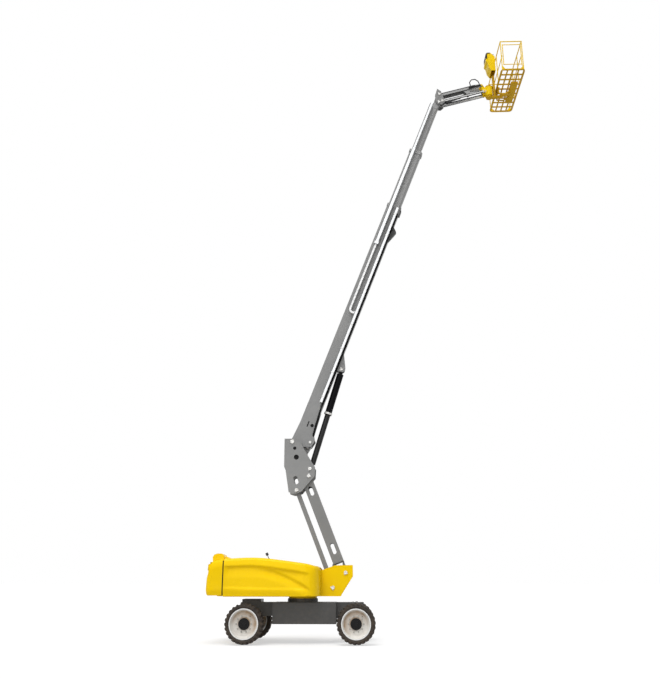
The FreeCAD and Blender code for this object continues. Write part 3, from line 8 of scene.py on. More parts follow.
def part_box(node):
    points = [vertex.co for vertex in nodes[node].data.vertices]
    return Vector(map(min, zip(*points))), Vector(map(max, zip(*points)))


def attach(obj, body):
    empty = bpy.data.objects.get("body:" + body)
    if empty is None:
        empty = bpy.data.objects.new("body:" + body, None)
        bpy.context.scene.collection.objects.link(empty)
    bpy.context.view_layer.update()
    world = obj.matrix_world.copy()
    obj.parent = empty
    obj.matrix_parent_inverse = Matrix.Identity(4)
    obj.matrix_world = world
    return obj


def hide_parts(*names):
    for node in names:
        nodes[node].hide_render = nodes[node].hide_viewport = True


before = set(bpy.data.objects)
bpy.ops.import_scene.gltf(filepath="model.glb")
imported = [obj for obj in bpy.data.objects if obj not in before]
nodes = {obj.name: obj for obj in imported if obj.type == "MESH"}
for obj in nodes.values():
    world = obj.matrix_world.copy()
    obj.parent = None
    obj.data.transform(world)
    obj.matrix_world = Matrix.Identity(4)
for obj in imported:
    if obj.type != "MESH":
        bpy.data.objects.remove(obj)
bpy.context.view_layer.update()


# ---- Chassis frame ----
# The welded steel undercarriage between the axles, sprayed dark grey. Its paint is dulled by mud
# thrown up from the wheels and rubbed to bare metal along the cut plate edges.

def new_effect(name, inputs, outputs):
    """A shader node group with named sockets, ready for its nodes."""
    group = bpy.data.node_groups.new(name, "ShaderNodeTree")
    for label, kind, value in inputs:
        socket = group.interface.new_socket(label, in_out="INPUT", socket_type=kind)
        socket.default_value = value
    for label, kind in outputs:
        group.interface.new_socket(label, in_out="OUTPUT", socket_type=kind)
    return group, group.nodes.new("NodeGroupInput"), group.nodes.new("NodeGroupOutput")


def wire(tree, kind, sources, **settings):
    """A node with its settings made and its inputs linked or filled, by index or by name."""
    node = tree.nodes.new(kind)
    for key, value in settings.items():
        setattr(node, key, value)
    for key, source in sources.items():
        if isinstance(source, bpy.types.NodeSocket):
            tree.links.new(source, node.inputs[key])
        else:
            node.inputs[key].default_value = source
    return node


def maths(tree, operation, first, second=0.0, clamp=False):
    """The result of one sum on two values."""
    node = wire(tree, "ShaderNodeMath", {0: first, 1: second}, operation=operation, use_clamp=clamp)
    return node.outputs[0]


def times(tree, first, second, clamp=False):
    """The product of two values."""
    return maths(tree, "MULTIPLY", first, second, clamp)


def noise(tree, coords, scale, detail, rough=0.55):
    """A cloudy pattern through the solid, at a scale in features per metre."""
    return wire(tree, "ShaderNodeTexNoise",
                {"Vector": coords, "Scale": scale, "Detail": detail, "Roughness": rough}).outputs[0]


def spread(tree, value, low, high, to_low=0.0, to_high=1.0):
    """A value stretched from one range to another, and held inside it."""
    return wire(tree, "ShaderNodeMapRange",
                {0: value, 1: low, 2: high, 3: to_low, 4: to_high}).outputs[0]


def blend_colours(tree, amount, first, second):
    """The first colour where the amount is 0, and the second where it is 1."""
    node = wire(tree, "ShaderNodeMix", {0: amount, 6: first, 7: second}, data_type="RGBA")
    return node.outputs[2]


def object_place(tree):
    """The place in the object's own frame, which is the machine's at rest."""
    return tree.nodes.new("ShaderNodeTexCoord").outputs["Object"]


def make_weathering():
    """Wear on arrises, broad mottling and dust that thickens towards the ground."""
    colour, number = "NodeSocketColor", "NodeSocketFloat"
    group, given, out = new_effect(
        "weathering",
        [("Paint", colour, (0.5, 0.5, 0.5, 1)), ("Bare", colour, (0.3, 0.3, 0.3, 1)),
         ("Dust", colour, (0.3, 0.26, 0.2, 1)), ("Wear", number, 0.4), ("Mottle", number, 0.1),
         ("Dust Height", number, 0.8), ("Dust Amount", number, 0.3), ("Gloss", number, 0.35)],
        [("Colour", colour), ("Roughness", number), ("Height", number)])
    place = object_place(group)
    flat = group.nodes.new("ShaderNodeNewGeometry").outputs["Normal"]
    round_off = wire(group, "ShaderNodeBevel", {"Radius": 0.006}, samples=4).outputs[0]
    likeness = wire(group, "ShaderNodeVectorMath", {0: flat, 1: round_off},
                    operation="DOT_PRODUCT").outputs["Value"]
    arris = spread(group, likeness, 0.99, 0.80)
    chips = spread(group, noise(group, place, 26.0, 5.0), 0.50, 0.60)
    worn = times(group, times(group, arris, chips), given.outputs["Wear"], True)
    broad = spread(group, noise(group, place, 1.3, 4.0), 0.3, 0.7, -1.0, 1.0)
    shade = maths(group, "ADD", times(group, broad, given.outputs["Mottle"]), 1.0)
    grey = wire(group, "ShaderNodeCombineColor", {0: shade, 1: shade, 2: shade}).outputs[0]
    toned = wire(group, "ShaderNodeMix", {0: 1.0, 6: given.outputs["Paint"], 7: grey},
                 data_type="RGBA", blend_type="MULTIPLY").outputs[2]
    height = wire(group, "ShaderNodeSeparateXYZ", {0: place}).outputs[2]
    share = maths(group, "DIVIDE", height, given.outputs["Dust Height"])
    low_down = maths(group, "SUBTRACT", 1.0, share, True)
    patches = spread(group, noise(group, place, 7.0, 6.0, 0.7), 0.35, 0.65)
    film = times(group, times(group, low_down, patches), given.outputs["Dust Amount"], True)
    dusty = blend_colours(group, film, toned, given.outputs["Dust"])
    final = blend_colours(group, worn, dusty, given.outputs["Bare"])
    smear = spread(group, noise(group, place, 9.0, 5.0), 0.3, 0.7, -0.05, 0.07)
    clean = maths(group, "ADD", given.outputs["Gloss"], smear)
    rough = maths(group, "ADD", clean, times(group, film, 0.4), True)
    peel = noise(group, place, 420.0, 2.0)
    relief = maths(group, "SUBTRACT", times(group, peel, 0.25), times(group, worn, 0.6))
    group.links.new(final, out.inputs["Colour"])
    group.links.new(rough, out.inputs["Roughness"])
    group.links.new(relief, out.inputs["Height"])
    return group


weathering = make_weathering()


def new_finish(name):
    """A material with its node tree and its surface shader."""
    material = bpy.data.materials.new(name)
    material.use_nodes = True
    return material, material.node_tree, material.node_tree.nodes["Principled BSDF"]


def add_relief(tree, surface, height, strength, distance):
    """Bumps on a surface, from a height that changes over it."""
    bumps = wire(tree, "ShaderNodeBump", {"Height": height, "Strength": strength, "Distance": distance})
    tree.links.new(bumps.outputs[0], surface.inputs["Normal"])


def painted(name, paint, bare=(0.28, 0.27, 0.26), wear=0.5, mottle=0.06, dust_height=0.9, dust=0.25,
            gloss=0.36, metallic=0.0, peel=0.02, specular=0.35, sheen_colour=(1, 1, 1)):
    """A sprayed surface: its colour, wear, dust and relief all come from the weathering group."""
    material, tree, surface = new_finish(name)
    group = wire(tree, "ShaderNodeGroup", {}, node_tree=weathering)
    for label, value in (("Paint", (*paint, 1)), ("Bare", (*bare, 1)), ("Wear", wear), ("Mottle", mottle),
                         ("Dust Height", dust_height), ("Dust Amount", dust), ("Gloss", gloss)):
        group.inputs[label].default_value = value
    tree.links.new(group.outputs["Colour"], surface.inputs["Base Color"])
    tree.links.new(group.outputs["Roughness"], surface.inputs["Roughness"])
    add_relief(tree, surface, group.outputs["Height"], 0.35, peel / 10)
    surface.inputs["Metallic"].default_value = metallic
    surface.inputs["Specular IOR Level"].default_value = specular
    surface.inputs["Specular Tint"].default_value = (*sheen_colour, 1)
    return material


def coat_nodes(material, *names):
    """Give the construction model's own parts a finish."""
    for name in names:
        nodes[name].data.materials.clear()
        nodes[name].data.materials.append(material)


CHASSIS_GREY = (0.058, 0.057, 0.056)
chassis_paint = painted("chassis_paint", CHASSIS_GREY, wear=0.4, mottle=0.04, dust_height=1.4, dust=0.16,
                        gloss=0.40)
coat_nodes(chassis_paint, "chassis_frame", "slew_ring", "steer_axle", "fixed_axle",
           "steer_knuckle_left", "steer_knuckle_right", "tie_down_lugs")


# ---- Tyres ----
# Foam-filled rough-terrain tyres: a smooth carcass with a ring of deep slanting bars on each shoulder,
# the two rings set half a pitch apart. The rubber is browned in patches by dried mud.

RUBBER_CLEAN = (0.036, 0.031, 0.028)
RUBBER_MUDDY = (0.105, 0.080, 0.058)
TYRE_OUT = 0.528
TYRE_TREAD = 0.026
BEAD_RADIUS = 0.386
BARS = 26
BAR_WIDTH = 0.052
BAR_ROOT = 0.016
BAR_SLANT = 0.036
BAR_PAST_MIDDLE = 0.012
BAR_FLARE = 1.25
BAR_DROP = 0.016
BAR_INSET = 0.003
BAR_SUNK = 0.002
BAR_BEVEL = 0.004
LUG_SIZE = (0.060, 0.024, 0.075)
LUG_INSET = 0.0165
LUG_SUNK = 0.058
LUG_BEVEL = 0.008


def make_rubber():
    """Worn rubber, browned in patches by dried mud and roughened by grit."""
    material, tree, surface = new_finish("tyre_rubber")
    place = object_place(tree)
    mud = spread(tree, noise(tree, place, 5.5, 6.0, 0.65), 0.38, 0.66)
    speckle = spread(tree, noise(tree, place, 60.0, 3.0), 0.35, 0.7)
    amount = times(tree, mud, spread(tree, speckle, 0.0, 1.0, 0.45, 0.8))
    colour = blend_colours(tree, amount, (*RUBBER_CLEAN, 1), (*RUBBER_MUDDY, 1))
    tree.links.new(colour, surface.inputs["Base Color"])
    tree.links.new(spread(tree, mud, 0.0, 1.0, 0.68, 0.92), surface.inputs["Roughness"])
    fine = times(tree, noise(tree, place, 230.0, 2.0), 0.5)
    grain = maths(tree, "ADD", fine, times(tree, noise(tree, place, 28.0, 4.0), 0.8))
    add_relief(tree, surface, grain, 0.6, 0.003)
    surface.inputs["Specular IOR Level"].default_value = 0.2
    return material


def new_object(name, data):
    """An object in the scene, for a mesh, a lamp or a camera."""
    thing = bpy.data.objects.new(name, data)
    bpy.context.scene.collection.objects.link(thing)
    return thing


def new_mesh(name, shape, material):
    """A mesh from a finished bmesh, with its material."""
    mesh = bpy.data.meshes.new(name)
    shape.to_mesh(mesh)
    shape.free()
    mesh.materials.append(material)
    return mesh


def add_piece(name, shape, material, body, smooth_angle=35):
    """A finished bmesh as its own object, smooth up to an angle and riding on a body."""
    mesh = new_mesh(name, shape, material)
    mesh.shade_smooth()
    mesh.set_sharp_from_angle(angle=math.radians(smooth_angle))
    piece = new_object(name, mesh)
    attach(piece, body)
    return piece


def add_placed(name, shape, place, material, body, smooth_angle=35):
    """Turn a mesh's faces outwards, move it by a matrix and finish it as a piece."""
    bmesh.ops.recalc_face_normals(shape, faces=shape.faces[:])
    bmesh.ops.transform(shape, matrix=place, verts=shape.verts[:])
    return add_piece(name, shape, material, body, smooth_angle)


def turned(shape, outline, axis="Y", steps=64):
    """A closed outline of (radius, along) points turned about an axis through the origin."""
    ring = [shape.verts.new((r, a, 0.0) if axis == "Y" else (r, 0.0, a)) for r, a in outline]
    face = shape.faces.new(ring)
    turn_axis = (0, 1, 0) if axis == "Y" else (0, 0, 1)
    bmesh.ops.spin(shape, geom=[face] + list(face.edges) + ring, cent=(0, 0, 0), axis=turn_axis,
                   angle=math.tau, steps=steps, use_merge=True, use_duplicate=False)


def soften(shape, made, width, segments=1):
    """Bevel the edges of some new points, and give back the points that this leaves."""
    edges = list({e for v in made for e in v.link_edges})
    done = bmesh.ops.bevel(shape, geom=edges, offset=width, segments=segments, profile=0.5,
                           affect="EDGES", material=-1)
    return list({v for f in done["faces"] for v in f.verts})


def tyre_outline(half, bead, radius):
    """The carcass in section, from one bead over the tread to the other."""
    side = [(bead, half - 0.070), (bead + 0.014, half - 0.030), (bead + 0.050, half - 0.006),
            (radius - 0.058, half - 0.002), (radius - 0.022, half - 0.018), (radius - 0.006, half - 0.044),
            (radius, half - 0.090)]
    return side + [(r, -a) for r, a in reversed(side)]


def round_the_axle(shape, verts, place, angle):
    """Move some points out to their place on a wheel, then round its axle by an angle."""
    bmesh.ops.translate(shape, verts=verts, vec=place)
    bmesh.ops.rotate(shape, verts=verts, cent=(0, 0, 0), matrix=Matrix.Rotation(angle, 3, "Y"))


def tread_bar(shape, side, angle, half_width):
    """One slanting bar, from the shoulder to just past the middle, and the lug below its outer end."""
    bar = bmesh.ops.create_cube(shape, size=1.0)["verts"]
    length = half_width + BAR_PAST_MIDDLE
    depth = TYRE_TREAD + BAR_ROOT
    bmesh.ops.scale(shape, verts=bar, vec=(BAR_WIDTH, length, depth))
    for v in bar:
        if v.co.y * side > 0:
            v.co.x *= BAR_FLARE
            v.co.z -= BAR_DROP
        else:
            v.co.x += BAR_SLANT * side
    place = (0, side * (half_width - length / 2 - BAR_INSET), TYRE_OUT - depth / 2 - BAR_SUNK)
    round_the_axle(shape, soften(shape, bar, BAR_BEVEL), place, angle)
    lug = bmesh.ops.create_cube(shape, size=1.0)["verts"]
    bmesh.ops.scale(shape, verts=lug, vec=LUG_SIZE)
    place = (0, side * (half_width - LUG_INSET), TYRE_OUT - LUG_SUNK)
    round_the_axle(shape, soften(shape, lug, LUG_BEVEL), place, angle)


tyre_rubber = make_rubber()
for wheel in ("steer_left", "steer_right", "fixed_left", "fixed_right"):
    low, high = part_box("tyre_" + wheel)
    centre = (low + high) / 2
    half_width = (high.y - low.y) / 2
    tyre = bmesh.new()
    turned(tyre, tyre_outline(half_width, BEAD_RADIUS, TYRE_OUT - TYRE_TREAD))
    for bar in range(BARS):
        angle = math.tau * bar / BARS
        tread_bar(tyre, 1, angle, half_width)
        tread_bar(tyre, -1, angle + math.pi / BARS, half_width)
    piece = add_placed("tread_" + wheel, tyre, Matrix.Translation(centre), tyre_rubber, "wheel_" + wheel)
    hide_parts("tyre_" + wheel)


# ---- Rims and hubs ----
# Dished steel rims sprayed cream round black planetary hubs. The bead is rubbed bright, and the dish is
# browned partly by dust and partly as painted shade in its depth, its upper side darker as painted shade. A
# ring of nuts holds the disc, with the tyre's valve beside them.

RIM_CREAM = (0.74, 0.72, 0.68)
RIM_BROWN_AND_SHADE = (0.36, 0.235, 0.13)
BEAD_WHITE = (0.80, 0.80, 0.79)
HUB_BLACK = (0.010, 0.010, 0.011)
NUT_ZINC = (0.42, 0.41, 0.38)
RIM_LOW, RIM_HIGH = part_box("rim_steer_left")
HUB_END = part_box("hub_steer_left")[1].y
WHEEL_X = abs(RIM_LOW.x + RIM_HIGH.x) / 2
WHEEL_Z = (RIM_LOW.z + RIM_HIGH.z) / 2
RIM_RADIUS = (RIM_HIGH.x - RIM_LOW.x) / 2
HUB_FACE = HUB_END - 0.018
DISC_FACE = 1.127
NUT_COUNT = 10
NUT_RING = 0.205
NUT_SIZE = 0.036
NUT_TALL = 0.026
STUD_PARTS = ((0.024, 0.0, 0.005), (0.0095, 0.022, 0.038))
SCREW_COUNT = 8
SCREW_RING = 0.110
SCREW_SIZE = 0.024
SCREW_TALL = 0.012
PLUG_RING = 0.045
PLUG_SIZE = 0.030
HUB_RING = 0.140
VALVE_PLACE = (0.168, 0.195)
HUB_SMOOTH = 30


def overpaint(material, amount, colour):
    """Lay another colour over a painted surface, as far as the amount says."""
    tree = material.node_tree
    base = tree.nodes["Principled BSDF"].inputs["Base Color"]
    tree.links.new(blend_colours(tree, amount, base.links[0].from_socket, (*colour, 1)), base)


def make_rim_paint():
    """The weathered cream, browned towards the middle of the dish by dust and painted shade, darker on its
    upper side as painted shade, and whitened on the bead.
    """
    material = painted("rim_paint", RIM_CREAM, bare=(0.16, 0.12, 0.09), wear=0.5, mottle=0.07,
                       dust_height=2.4, dust=0.22, gloss=0.40)
    tree = material.node_tree
    place = object_place(tree)
    parts = wire(tree, "ShaderNodeSeparateXYZ", {0: place})
    across = maths(tree, "SUBTRACT", maths(tree, "ABSOLUTE", parts.outputs[0]), WHEEL_X)
    up = maths(tree, "SUBTRACT", parts.outputs[2], WHEEL_Z)
    square = maths(tree, "ADD", times(tree, across, across), times(tree, up, up))
    radius = maths(tree, "SQRT", square)
    # Brown deep in the dish and round the hub, partly dust and partly painted shade; the upper side is
    # painted darker as shade.
    depth = times(tree, spread(tree, radius, 0.352, 0.325), spread(tree, radius, 0.20, 0.31, 0.35, 1.0))
    cloud = spread(tree, noise(tree, place, 6.0, 5.0, 0.7), 0.30, 0.62, 0.55, 1.0)
    collar = spread(tree, radius, 0.215, 0.165)
    upper_shade = spread(tree, maths(tree, "SUBTRACT", up, times(tree, across, 0.6)), -0.22, 0.14, 0.12, 1.0)
    browned = times(tree, maths(tree, "MAXIMUM", depth, collar), upper_shade)
    overpaint(material, times(tree, browned, cloud, True), RIM_BROWN_AND_SHADE)
    overpaint(material, spread(tree, radius, RIM_RADIUS - 0.030, RIM_RADIUS - 0.018), BEAD_WHITE)
    return material


def hexagon_heads(shape, count, ring, across, depth, along):
    """A ring of bevelled hexagon heads about the Y axis, their feet on the plane y = along."""
    for step in range(count):
        made = bmesh.ops.create_cone(shape, cap_ends=True, segments=6, radius1=across / 2,
                                     radius2=across / 2, depth=abs(depth))["verts"]
        head = soften(shape, made, across * 0.06)
        bmesh.ops.rotate(shape, verts=head, cent=(0, 0, 0), matrix=Matrix.Rotation(math.pi / 2, 3, "X"))
        round_the_axle(shape, head, (0, along + depth / 2, ring), math.tau * (step + 0.5) / count)


def stud_nuts(side):
    """The disc's nuts, each on a flat washer with its stud's end showing."""
    shape = bmesh.new()
    hexagon_heads(shape, NUT_COUNT, NUT_RING, NUT_SIZE, side * NUT_TALL, side * DISC_FACE)
    outwards = Matrix.Rotation(-side * math.pi / 2, 3, "X")
    for step in range(NUT_COUNT):
        for radius, start, end in STUD_PARTS:
            made = bmesh.ops.create_cone(shape, cap_ends=True, segments=16, radius1=radius,
                                         radius2=radius * 0.94, depth=end - start)["verts"]
            bmesh.ops.rotate(shape, verts=made, cent=(0, 0, 0), matrix=outwards)
            round_the_axle(shape, made, (0, side * (DISC_FACE + (start + end) / 2), NUT_RING),
                           math.tau * (step + 0.5) / NUT_COUNT)
    return shape


def hub_trim(side):
    """Cap screws round the hub's cover, its drain and filler plugs, and a raised ring."""
    shape = bmesh.new()
    hexagon_heads(shape, SCREW_COUNT, SCREW_RING, SCREW_SIZE, side * SCREW_TALL,
                  side * (HUB_FACE - 0.001))
    hexagon_heads(shape, 2, PLUG_RING, PLUG_SIZE, side * SCREW_TALL, side * (HUB_END - 0.001))
    turned(shape, [(HUB_RING + out, side * (HUB_FACE - back))
                   for out, back in ((-0.008, 0.012), (0.0, 0.004), (0.006, 0.012), (0.0, 0.018))])
    return shape


def merge_doubles(shape):
    """Merge points that lie on one another, as at the pole of a turned shape."""
    bmesh.ops.remove_doubles(shape, verts=shape.verts[:], dist=0.00002)


def valve_stem(side):
    """A rubber valve stem on the disc, with a wider cap."""
    shape = bmesh.new()
    turned(shape, [(radius, side * (DISC_FACE + out)) for radius, out in
                   ((0.0, 0.0), (0.009, 0.0), (0.008, 0.040), (0.010, 0.042), (0.010, 0.060), (0.0, 0.060))],
           steps=20)
    merge_doubles(shape)
    return shape


rim_paint = make_rim_paint()
hub_paint = painted("hub_paint", HUB_BLACK, bare=(0.1, 0.1, 0.1), wear=0.5, mottle=0.15, dust_height=1.6,
                    dust=0.02, gloss=0.30, specular=0.10)
zinc_bolt = painted("zinc_bolt", NUT_ZINC, bare=(0.2, 0.17, 0.14), wear=0.6, mottle=0.2, dust_height=2.4,
                    dust=0.3, gloss=0.34, metallic=0.7)
for wheel in ("steer_left", "steer_right", "fixed_left", "fixed_right"):
    side = 1 if "left" in wheel else -1
    centre = Vector((WHEEL_X if "fixed" in wheel else -WHEEL_X, 0, WHEEL_Z))
    on_disc = centre + Vector((VALVE_PLACE[0], 0, VALVE_PLACE[1]))
    coat_nodes(rim_paint, "rim_" + wheel)
    coat_nodes(hub_paint, "hub_" + wheel)
    for name, shape, place, paint, slot in (
            ("wheel_nuts_", stud_nuts(side), centre, zinc_bolt, "rod_chrome"),
            ("hub_trim_", hub_trim(side), centre, hub_paint, "black_paint"),
            ("valve_", valve_stem(side), on_disc, hub_paint, "black_paint")):
        add_placed(name + wheel, shape, Matrix.Translation(place), paint, "wheel_" + wheel, HUB_SMOOTH)


# ---- Turret ----
# The slewing deck, its cheeks and the cast tail, sprayed bright yellow. The counterweight is a rough
# casting under the same paint; the cap on its shoulder and the hoods are moulded in matching plastic.

BRIGHT_YELLOW = (0.95, 0.62, 0.0015)
YELLOW_SHEEN = (1.0, 0.85, 0.30)
PRIMER = (0.24, 0.20, 0.14)
ENGINE_DARK = (0.05, 0.05, 0.052)
yellow_paint = painted("yellow_paint", BRIGHT_YELLOW, bare=PRIMER, wear=0.45, mottle=0.035,
                       dust_height=1.9, dust=0.10, gloss=0.34, specular=0.16, sheen_colour=YELLOW_SHEEN)
cast_paint = painted("cast_paint", BRIGHT_YELLOW, bare=PRIMER, wear=0.5, mottle=0.05, dust_height=2.0,
                     dust=0.14, gloss=0.42, peel=0.05, specular=0.16, sheen_colour=YELLOW_SHEEN)
shell_gloss = painted("shell_gloss", BRIGHT_YELLOW, bare=(0.75, 0.45, 0.01), wear=0.3, mottle=0.03,
                      dust_height=1.8, dust=0.08, gloss=0.24, peel=0.012, specular=0.25,
                      sheen_colour=YELLOW_SHEEN)
engine_iron = painted("engine_iron", ENGINE_DARK, wear=0.3, mottle=0.3, dust_height=3.0, dust=0.5, gloss=0.6)
coat_nodes(yellow_paint, "turret_frame")
coat_nodes(cast_paint, "counterweight")
coat_nodes(shell_gloss, "tail_cap", "hood_left", "hood_right")
coat_nodes(engine_iron, "engine_block")


# ---- Hoods and tail ----
# The moulded hoods and the cast tail share one rounded shoulder. Below it the hood's flank is pressed in:
# a scoop under a crease that runs with the top line, a second crease that sweeps down to the nose, and a
# lip above the skirt. Each is the construction model's own skin, cut finer and pushed inwards, and a
# rubber seal closes the gap between them.

SHOULDER_RADIUS = 0.080
NOSE_RADIUS = 0.430
REAR_RADIUS = 0.170
HOOD_LOW, HOOD_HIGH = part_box("hood_left")
TAIL_LOW, TAIL_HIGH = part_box("counterweight")
HALF_WIDTH = HOOD_HIGH.y
NOSE_X = HOOD_HIGH.x
SEAM_X = (HOOD_LOW.x + TAIL_HIGH.x) / 2
HOOD_SPAN = NOSE_X - HOOD_LOW.x
CREASE_DROP = 0.20
CREASE_SCOOP = 0.036
SWEEP_SCOOP = 0.046
PANEL_PRESS = 0.020
SHOULDER_LEAN = 0.034
SKIRT_TUCK = 0.030
HOOD_LIP = 1.445
TAIL_LIP = 1.415
BLACK_RUBBER_AND_SHADE = (0.008, 0.008, 0.008)
SEAL_STEPS = 30
SEAL_HALF = 0.015
SEAL_PROUD = 0.003
SEAL_DEPTH = 0.05
CORNERS = ((NOSE_X - NOSE_RADIUS, NOSE_RADIUS, 1.0), (TAIL_LOW.x + REAR_RADIUS, REAR_RADIUS, -1.0))
SHOULDER_CUTS = (0.012, 0.028, 0.048, 0.072, 0.11)
GRID_ALONG = 0.06
HOOD_GRID_UP = 0.026
TAIL_GRID_UP = 0.03
SKIN_SMOOTH = 38


def ease(value, low, high):
    """A smooth rise from 0 at low to 1 at high."""
    share = max(0.0, min(1.0, (value - low) / (high - low)))
    return share * share * (3.0 - 2.0 * share)


def scoop(drop, reach):
    """A hollow that opens just below a crease and runs out at its reach."""
    return ease(drop, 0.0, 0.035) * (1.0 - ease(drop, 0.035, reach))


def flank_depth(x, z, top):
    """How far the hood's flank is pressed in at a place, under a top line at that height."""
    along = (x - HOOD_LOW.x) / HOOD_SPAN
    at_seam = ease(along, 0.0, 0.06)
    at_nose = 1.0 - ease(along, 0.88, 0.98)
    crease = top - CREASE_DROP - 0.05 * along
    lean = SHOULDER_LEAN * ease(z, crease, top)
    under_crease = CREASE_SCOOP * scoop(crease - z, 0.34) * at_seam * (1.0 - ease(along, 0.70, 0.93))
    fall = max(0.0, (along - 0.30) / 0.58)
    sweep = top - 0.22 - 0.40 * fall ** 1.7
    past_sweep = ease(along, 0.32, 0.52) * (1.0 - ease(along, 0.86, 0.93))
    under_sweep = SWEEP_SCOOP * scoop(sweep - z, 0.30) * past_sweep
    lip = HOOD_LIP - 0.05 * along
    panel = PANEL_PRESS * ease(z, lip, lip + 0.018) * (1.0 - ease(z, crease - 0.03, crease)) * at_seam
    panel *= 1.0 - ease(along, 0.86, 0.90)
    skirt = SKIRT_TUCK * ease(lip - z, 0.03, 0.22)
    return (lean + under_crease + under_sweep + panel + skirt) * at_nose


def tail_depth(x, z, top):
    """How far the tail is pressed in: it leans in above its crease and below its lip, at any x."""
    return SHOULDER_LEAN * ease(z, top - CREASE_DROP, top) + SKIRT_TUCK * ease(TAIL_LIP - z, 0.0, 0.19)


def outward(x, y):
    """The distance inwards from the turret's outline in plan, and the way out of it."""
    side = 1.0 if y > 0 else -1.0
    y = abs(y)
    for centre_x, radius, way in CORNERS:
        past = (x - centre_x) * way
        centre_y = HALF_WIDTH - radius
        if past > 0.0 and y > centre_y:
            reach = math.hypot(past, y - centre_y)
            return radius - reach, Vector((way * past / reach, side * (y - centre_y) / reach, 0.0))
        if past > 0.0 and past + (HALF_WIDTH - y) > radius:
            return radius - past, Vector((way, 0.0, 0.0))
    return HALF_WIDTH - y, Vector((0.0, side, 0.0))


def rounding(inwards, below):
    """The inward and downward shift that turns a square shoulder into a round one."""
    spread_out = abs(below - inwards)
    if spread_out >= SHOULDER_RADIUS or min(inwards, below) > 0.03:
        return 0.0
    far = 2.0 * SHOULDER_RADIUS - spread_out
    return (far - math.sqrt(far * far - 2.0 * (spread_out - SHOULDER_RADIUS) ** 2)) / 2.0


def pressed(name, depth, grid_up):
    """A node's own skin, cut into a fine grid, rounded at the shoulder and pressed in along its flank."""
    shape = bmesh.new()
    shape.from_mesh(nodes[name].data)
    merge_doubles(shape)
    bmesh.ops.dissolve_limit(shape, angle_limit=math.radians(0.05), verts=shape.verts[:],
                             edges=shape.edges[:])
    low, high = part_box(name)
    line = sorted((v.co.x, v.co.z) for v in shape.verts
                  if v.co.z > high.z - 0.32 and abs(outward(*v.co.xy)[0]) < 0.0008)

    def top_at(x):
        for (x0, z0), (x1, z1) in zip(line, line[1:]):
            if x0 <= x <= x1 and x1 > x0:
                return z0 + (z1 - z0) * (x - x0) / (x1 - x0)
        return line[0][1] if x < line[0][0] else line[-1][1]

    across, along, up = Vector((0, 1, 0)), Vector((1, 0, 0)), Vector((0, 0, 1))
    cuts = [(along, low.x + GRID_ALONG * k) for k in range(1, int((high.x - low.x) / GRID_ALONG) + 1)]
    cuts += [(up, low.z + grid_up * k) for k in range(1, int((high.z - low.z) / grid_up) + 1)]
    cuts += [(across, side * (HALF_WIDTH - inset)) for side in (-1, 1) for inset in SHOULDER_CUTS]
    for axis, place in cuts:
        shape.normal_update()
        faces = [face for face in shape.faces if axis != up or abs(face.normal.z) < 0.7]
        verts = list({v for face in faces for v in face.verts})
        edges = list({e for face in faces for e in face.edges})
        bmesh.ops.bisect_plane(shape, geom=verts + edges + faces, dist=0.0001, plane_co=axis * place,
                               plane_no=axis)
    for vert in shape.verts:
        inwards, way = outward(vert.co.x, vert.co.y)
        top = top_at(vert.co.x)
        below = top - vert.co.z
        if below < -0.002 or inwards > 0.30:
            continue
        turn = rounding(max(inwards, 0.0), max(below, 0.0))
        near = 1.0 - ease(inwards, 0.10, 0.28)
        shift = depth(vert.co.x, vert.co.z, top) * near + turn
        vert.co -= way * shift
        vert.co.z -= turn
    bmesh.ops.recalc_face_normals(shape, faces=shape.faces[:])
    return shape


for side in ("left", "right"):
    skin = pressed("hood_" + side, flank_depth, HOOD_GRID_UP)
    piece = add_piece("skin_" + side, skin, shell_gloss, "hood_" + side, SKIN_SMOOTH)
    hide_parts("hood_" + side)
tail_skin = pressed("counterweight", tail_depth, TAIL_GRID_UP)
piece = add_piece("tail_casting", tail_skin, cast_paint, "turret", SKIN_SMOOTH)
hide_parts("counterweight")


def seal_strip(side):
    """A rubber lip that follows the pressed flank down the gap between the hood and the tail."""
    shape = bmesh.new()
    foot, head = HOOD_LOW.z + 0.02, TAIL_HIGH.z - 0.05
    rows = []
    for step in range(SEAL_STEPS + 1):
        z = foot + (head - foot) * step / SEAL_STEPS
        face = HALF_WIDTH - flank_depth(SEAM_X + 0.01, z, TAIL_HIGH.z) + SEAL_PROUD
        back = face - SEAL_DEPTH
        rows.append([shape.verts.new((SEAM_X + x, side * y, z)) for x, y in
                     ((-SEAL_HALF, face), (SEAL_HALF, face), (SEAL_HALF, back), (-SEAL_HALF, back))])
    for low, high in zip(rows, rows[1:]):
        for k in range(4):
            shape.faces.new((low[k], low[(k + 1) % 4], high[(k + 1) % 4], high[k]))
    shape.faces.new(rows[0])
    shape.faces.new(rows[-1])
    bmesh.ops.recalc_face_normals(shape, faces=shape.faces[:])
    return shape


# Black rubber for hoses, seals and clips. The same black also finishes the discs and strips that are painted
# shade.
black_rubber_and_shade = painted("black_rubber_and_shade", BLACK_RUBBER_AND_SHADE, bare=(0.02, 0.02, 0.02), wear=0.1, mottle=0.1,
                       dust=0.0, gloss=0.6, specular=0.12)
for name, side in (("left", 1), ("right", -1)):
    add_piece("hood_seal_" + name, seal_strip(side), black_rubber_and_shade, "turret")


# ---- Beacon ----
# A flashing lamp on a bent stalk, clipped to the top of the right hood. The tube and the lamp's moulded
# housing are both satin black.

BEACON_BLACK = (0.018, 0.018, 0.019)
beacon_black = painted("beacon_black", BEACON_BLACK, wear=0.2, mottle=0.1, dust=0.1, gloss=0.22)
coat_nodes(beacon_black, "beacon")
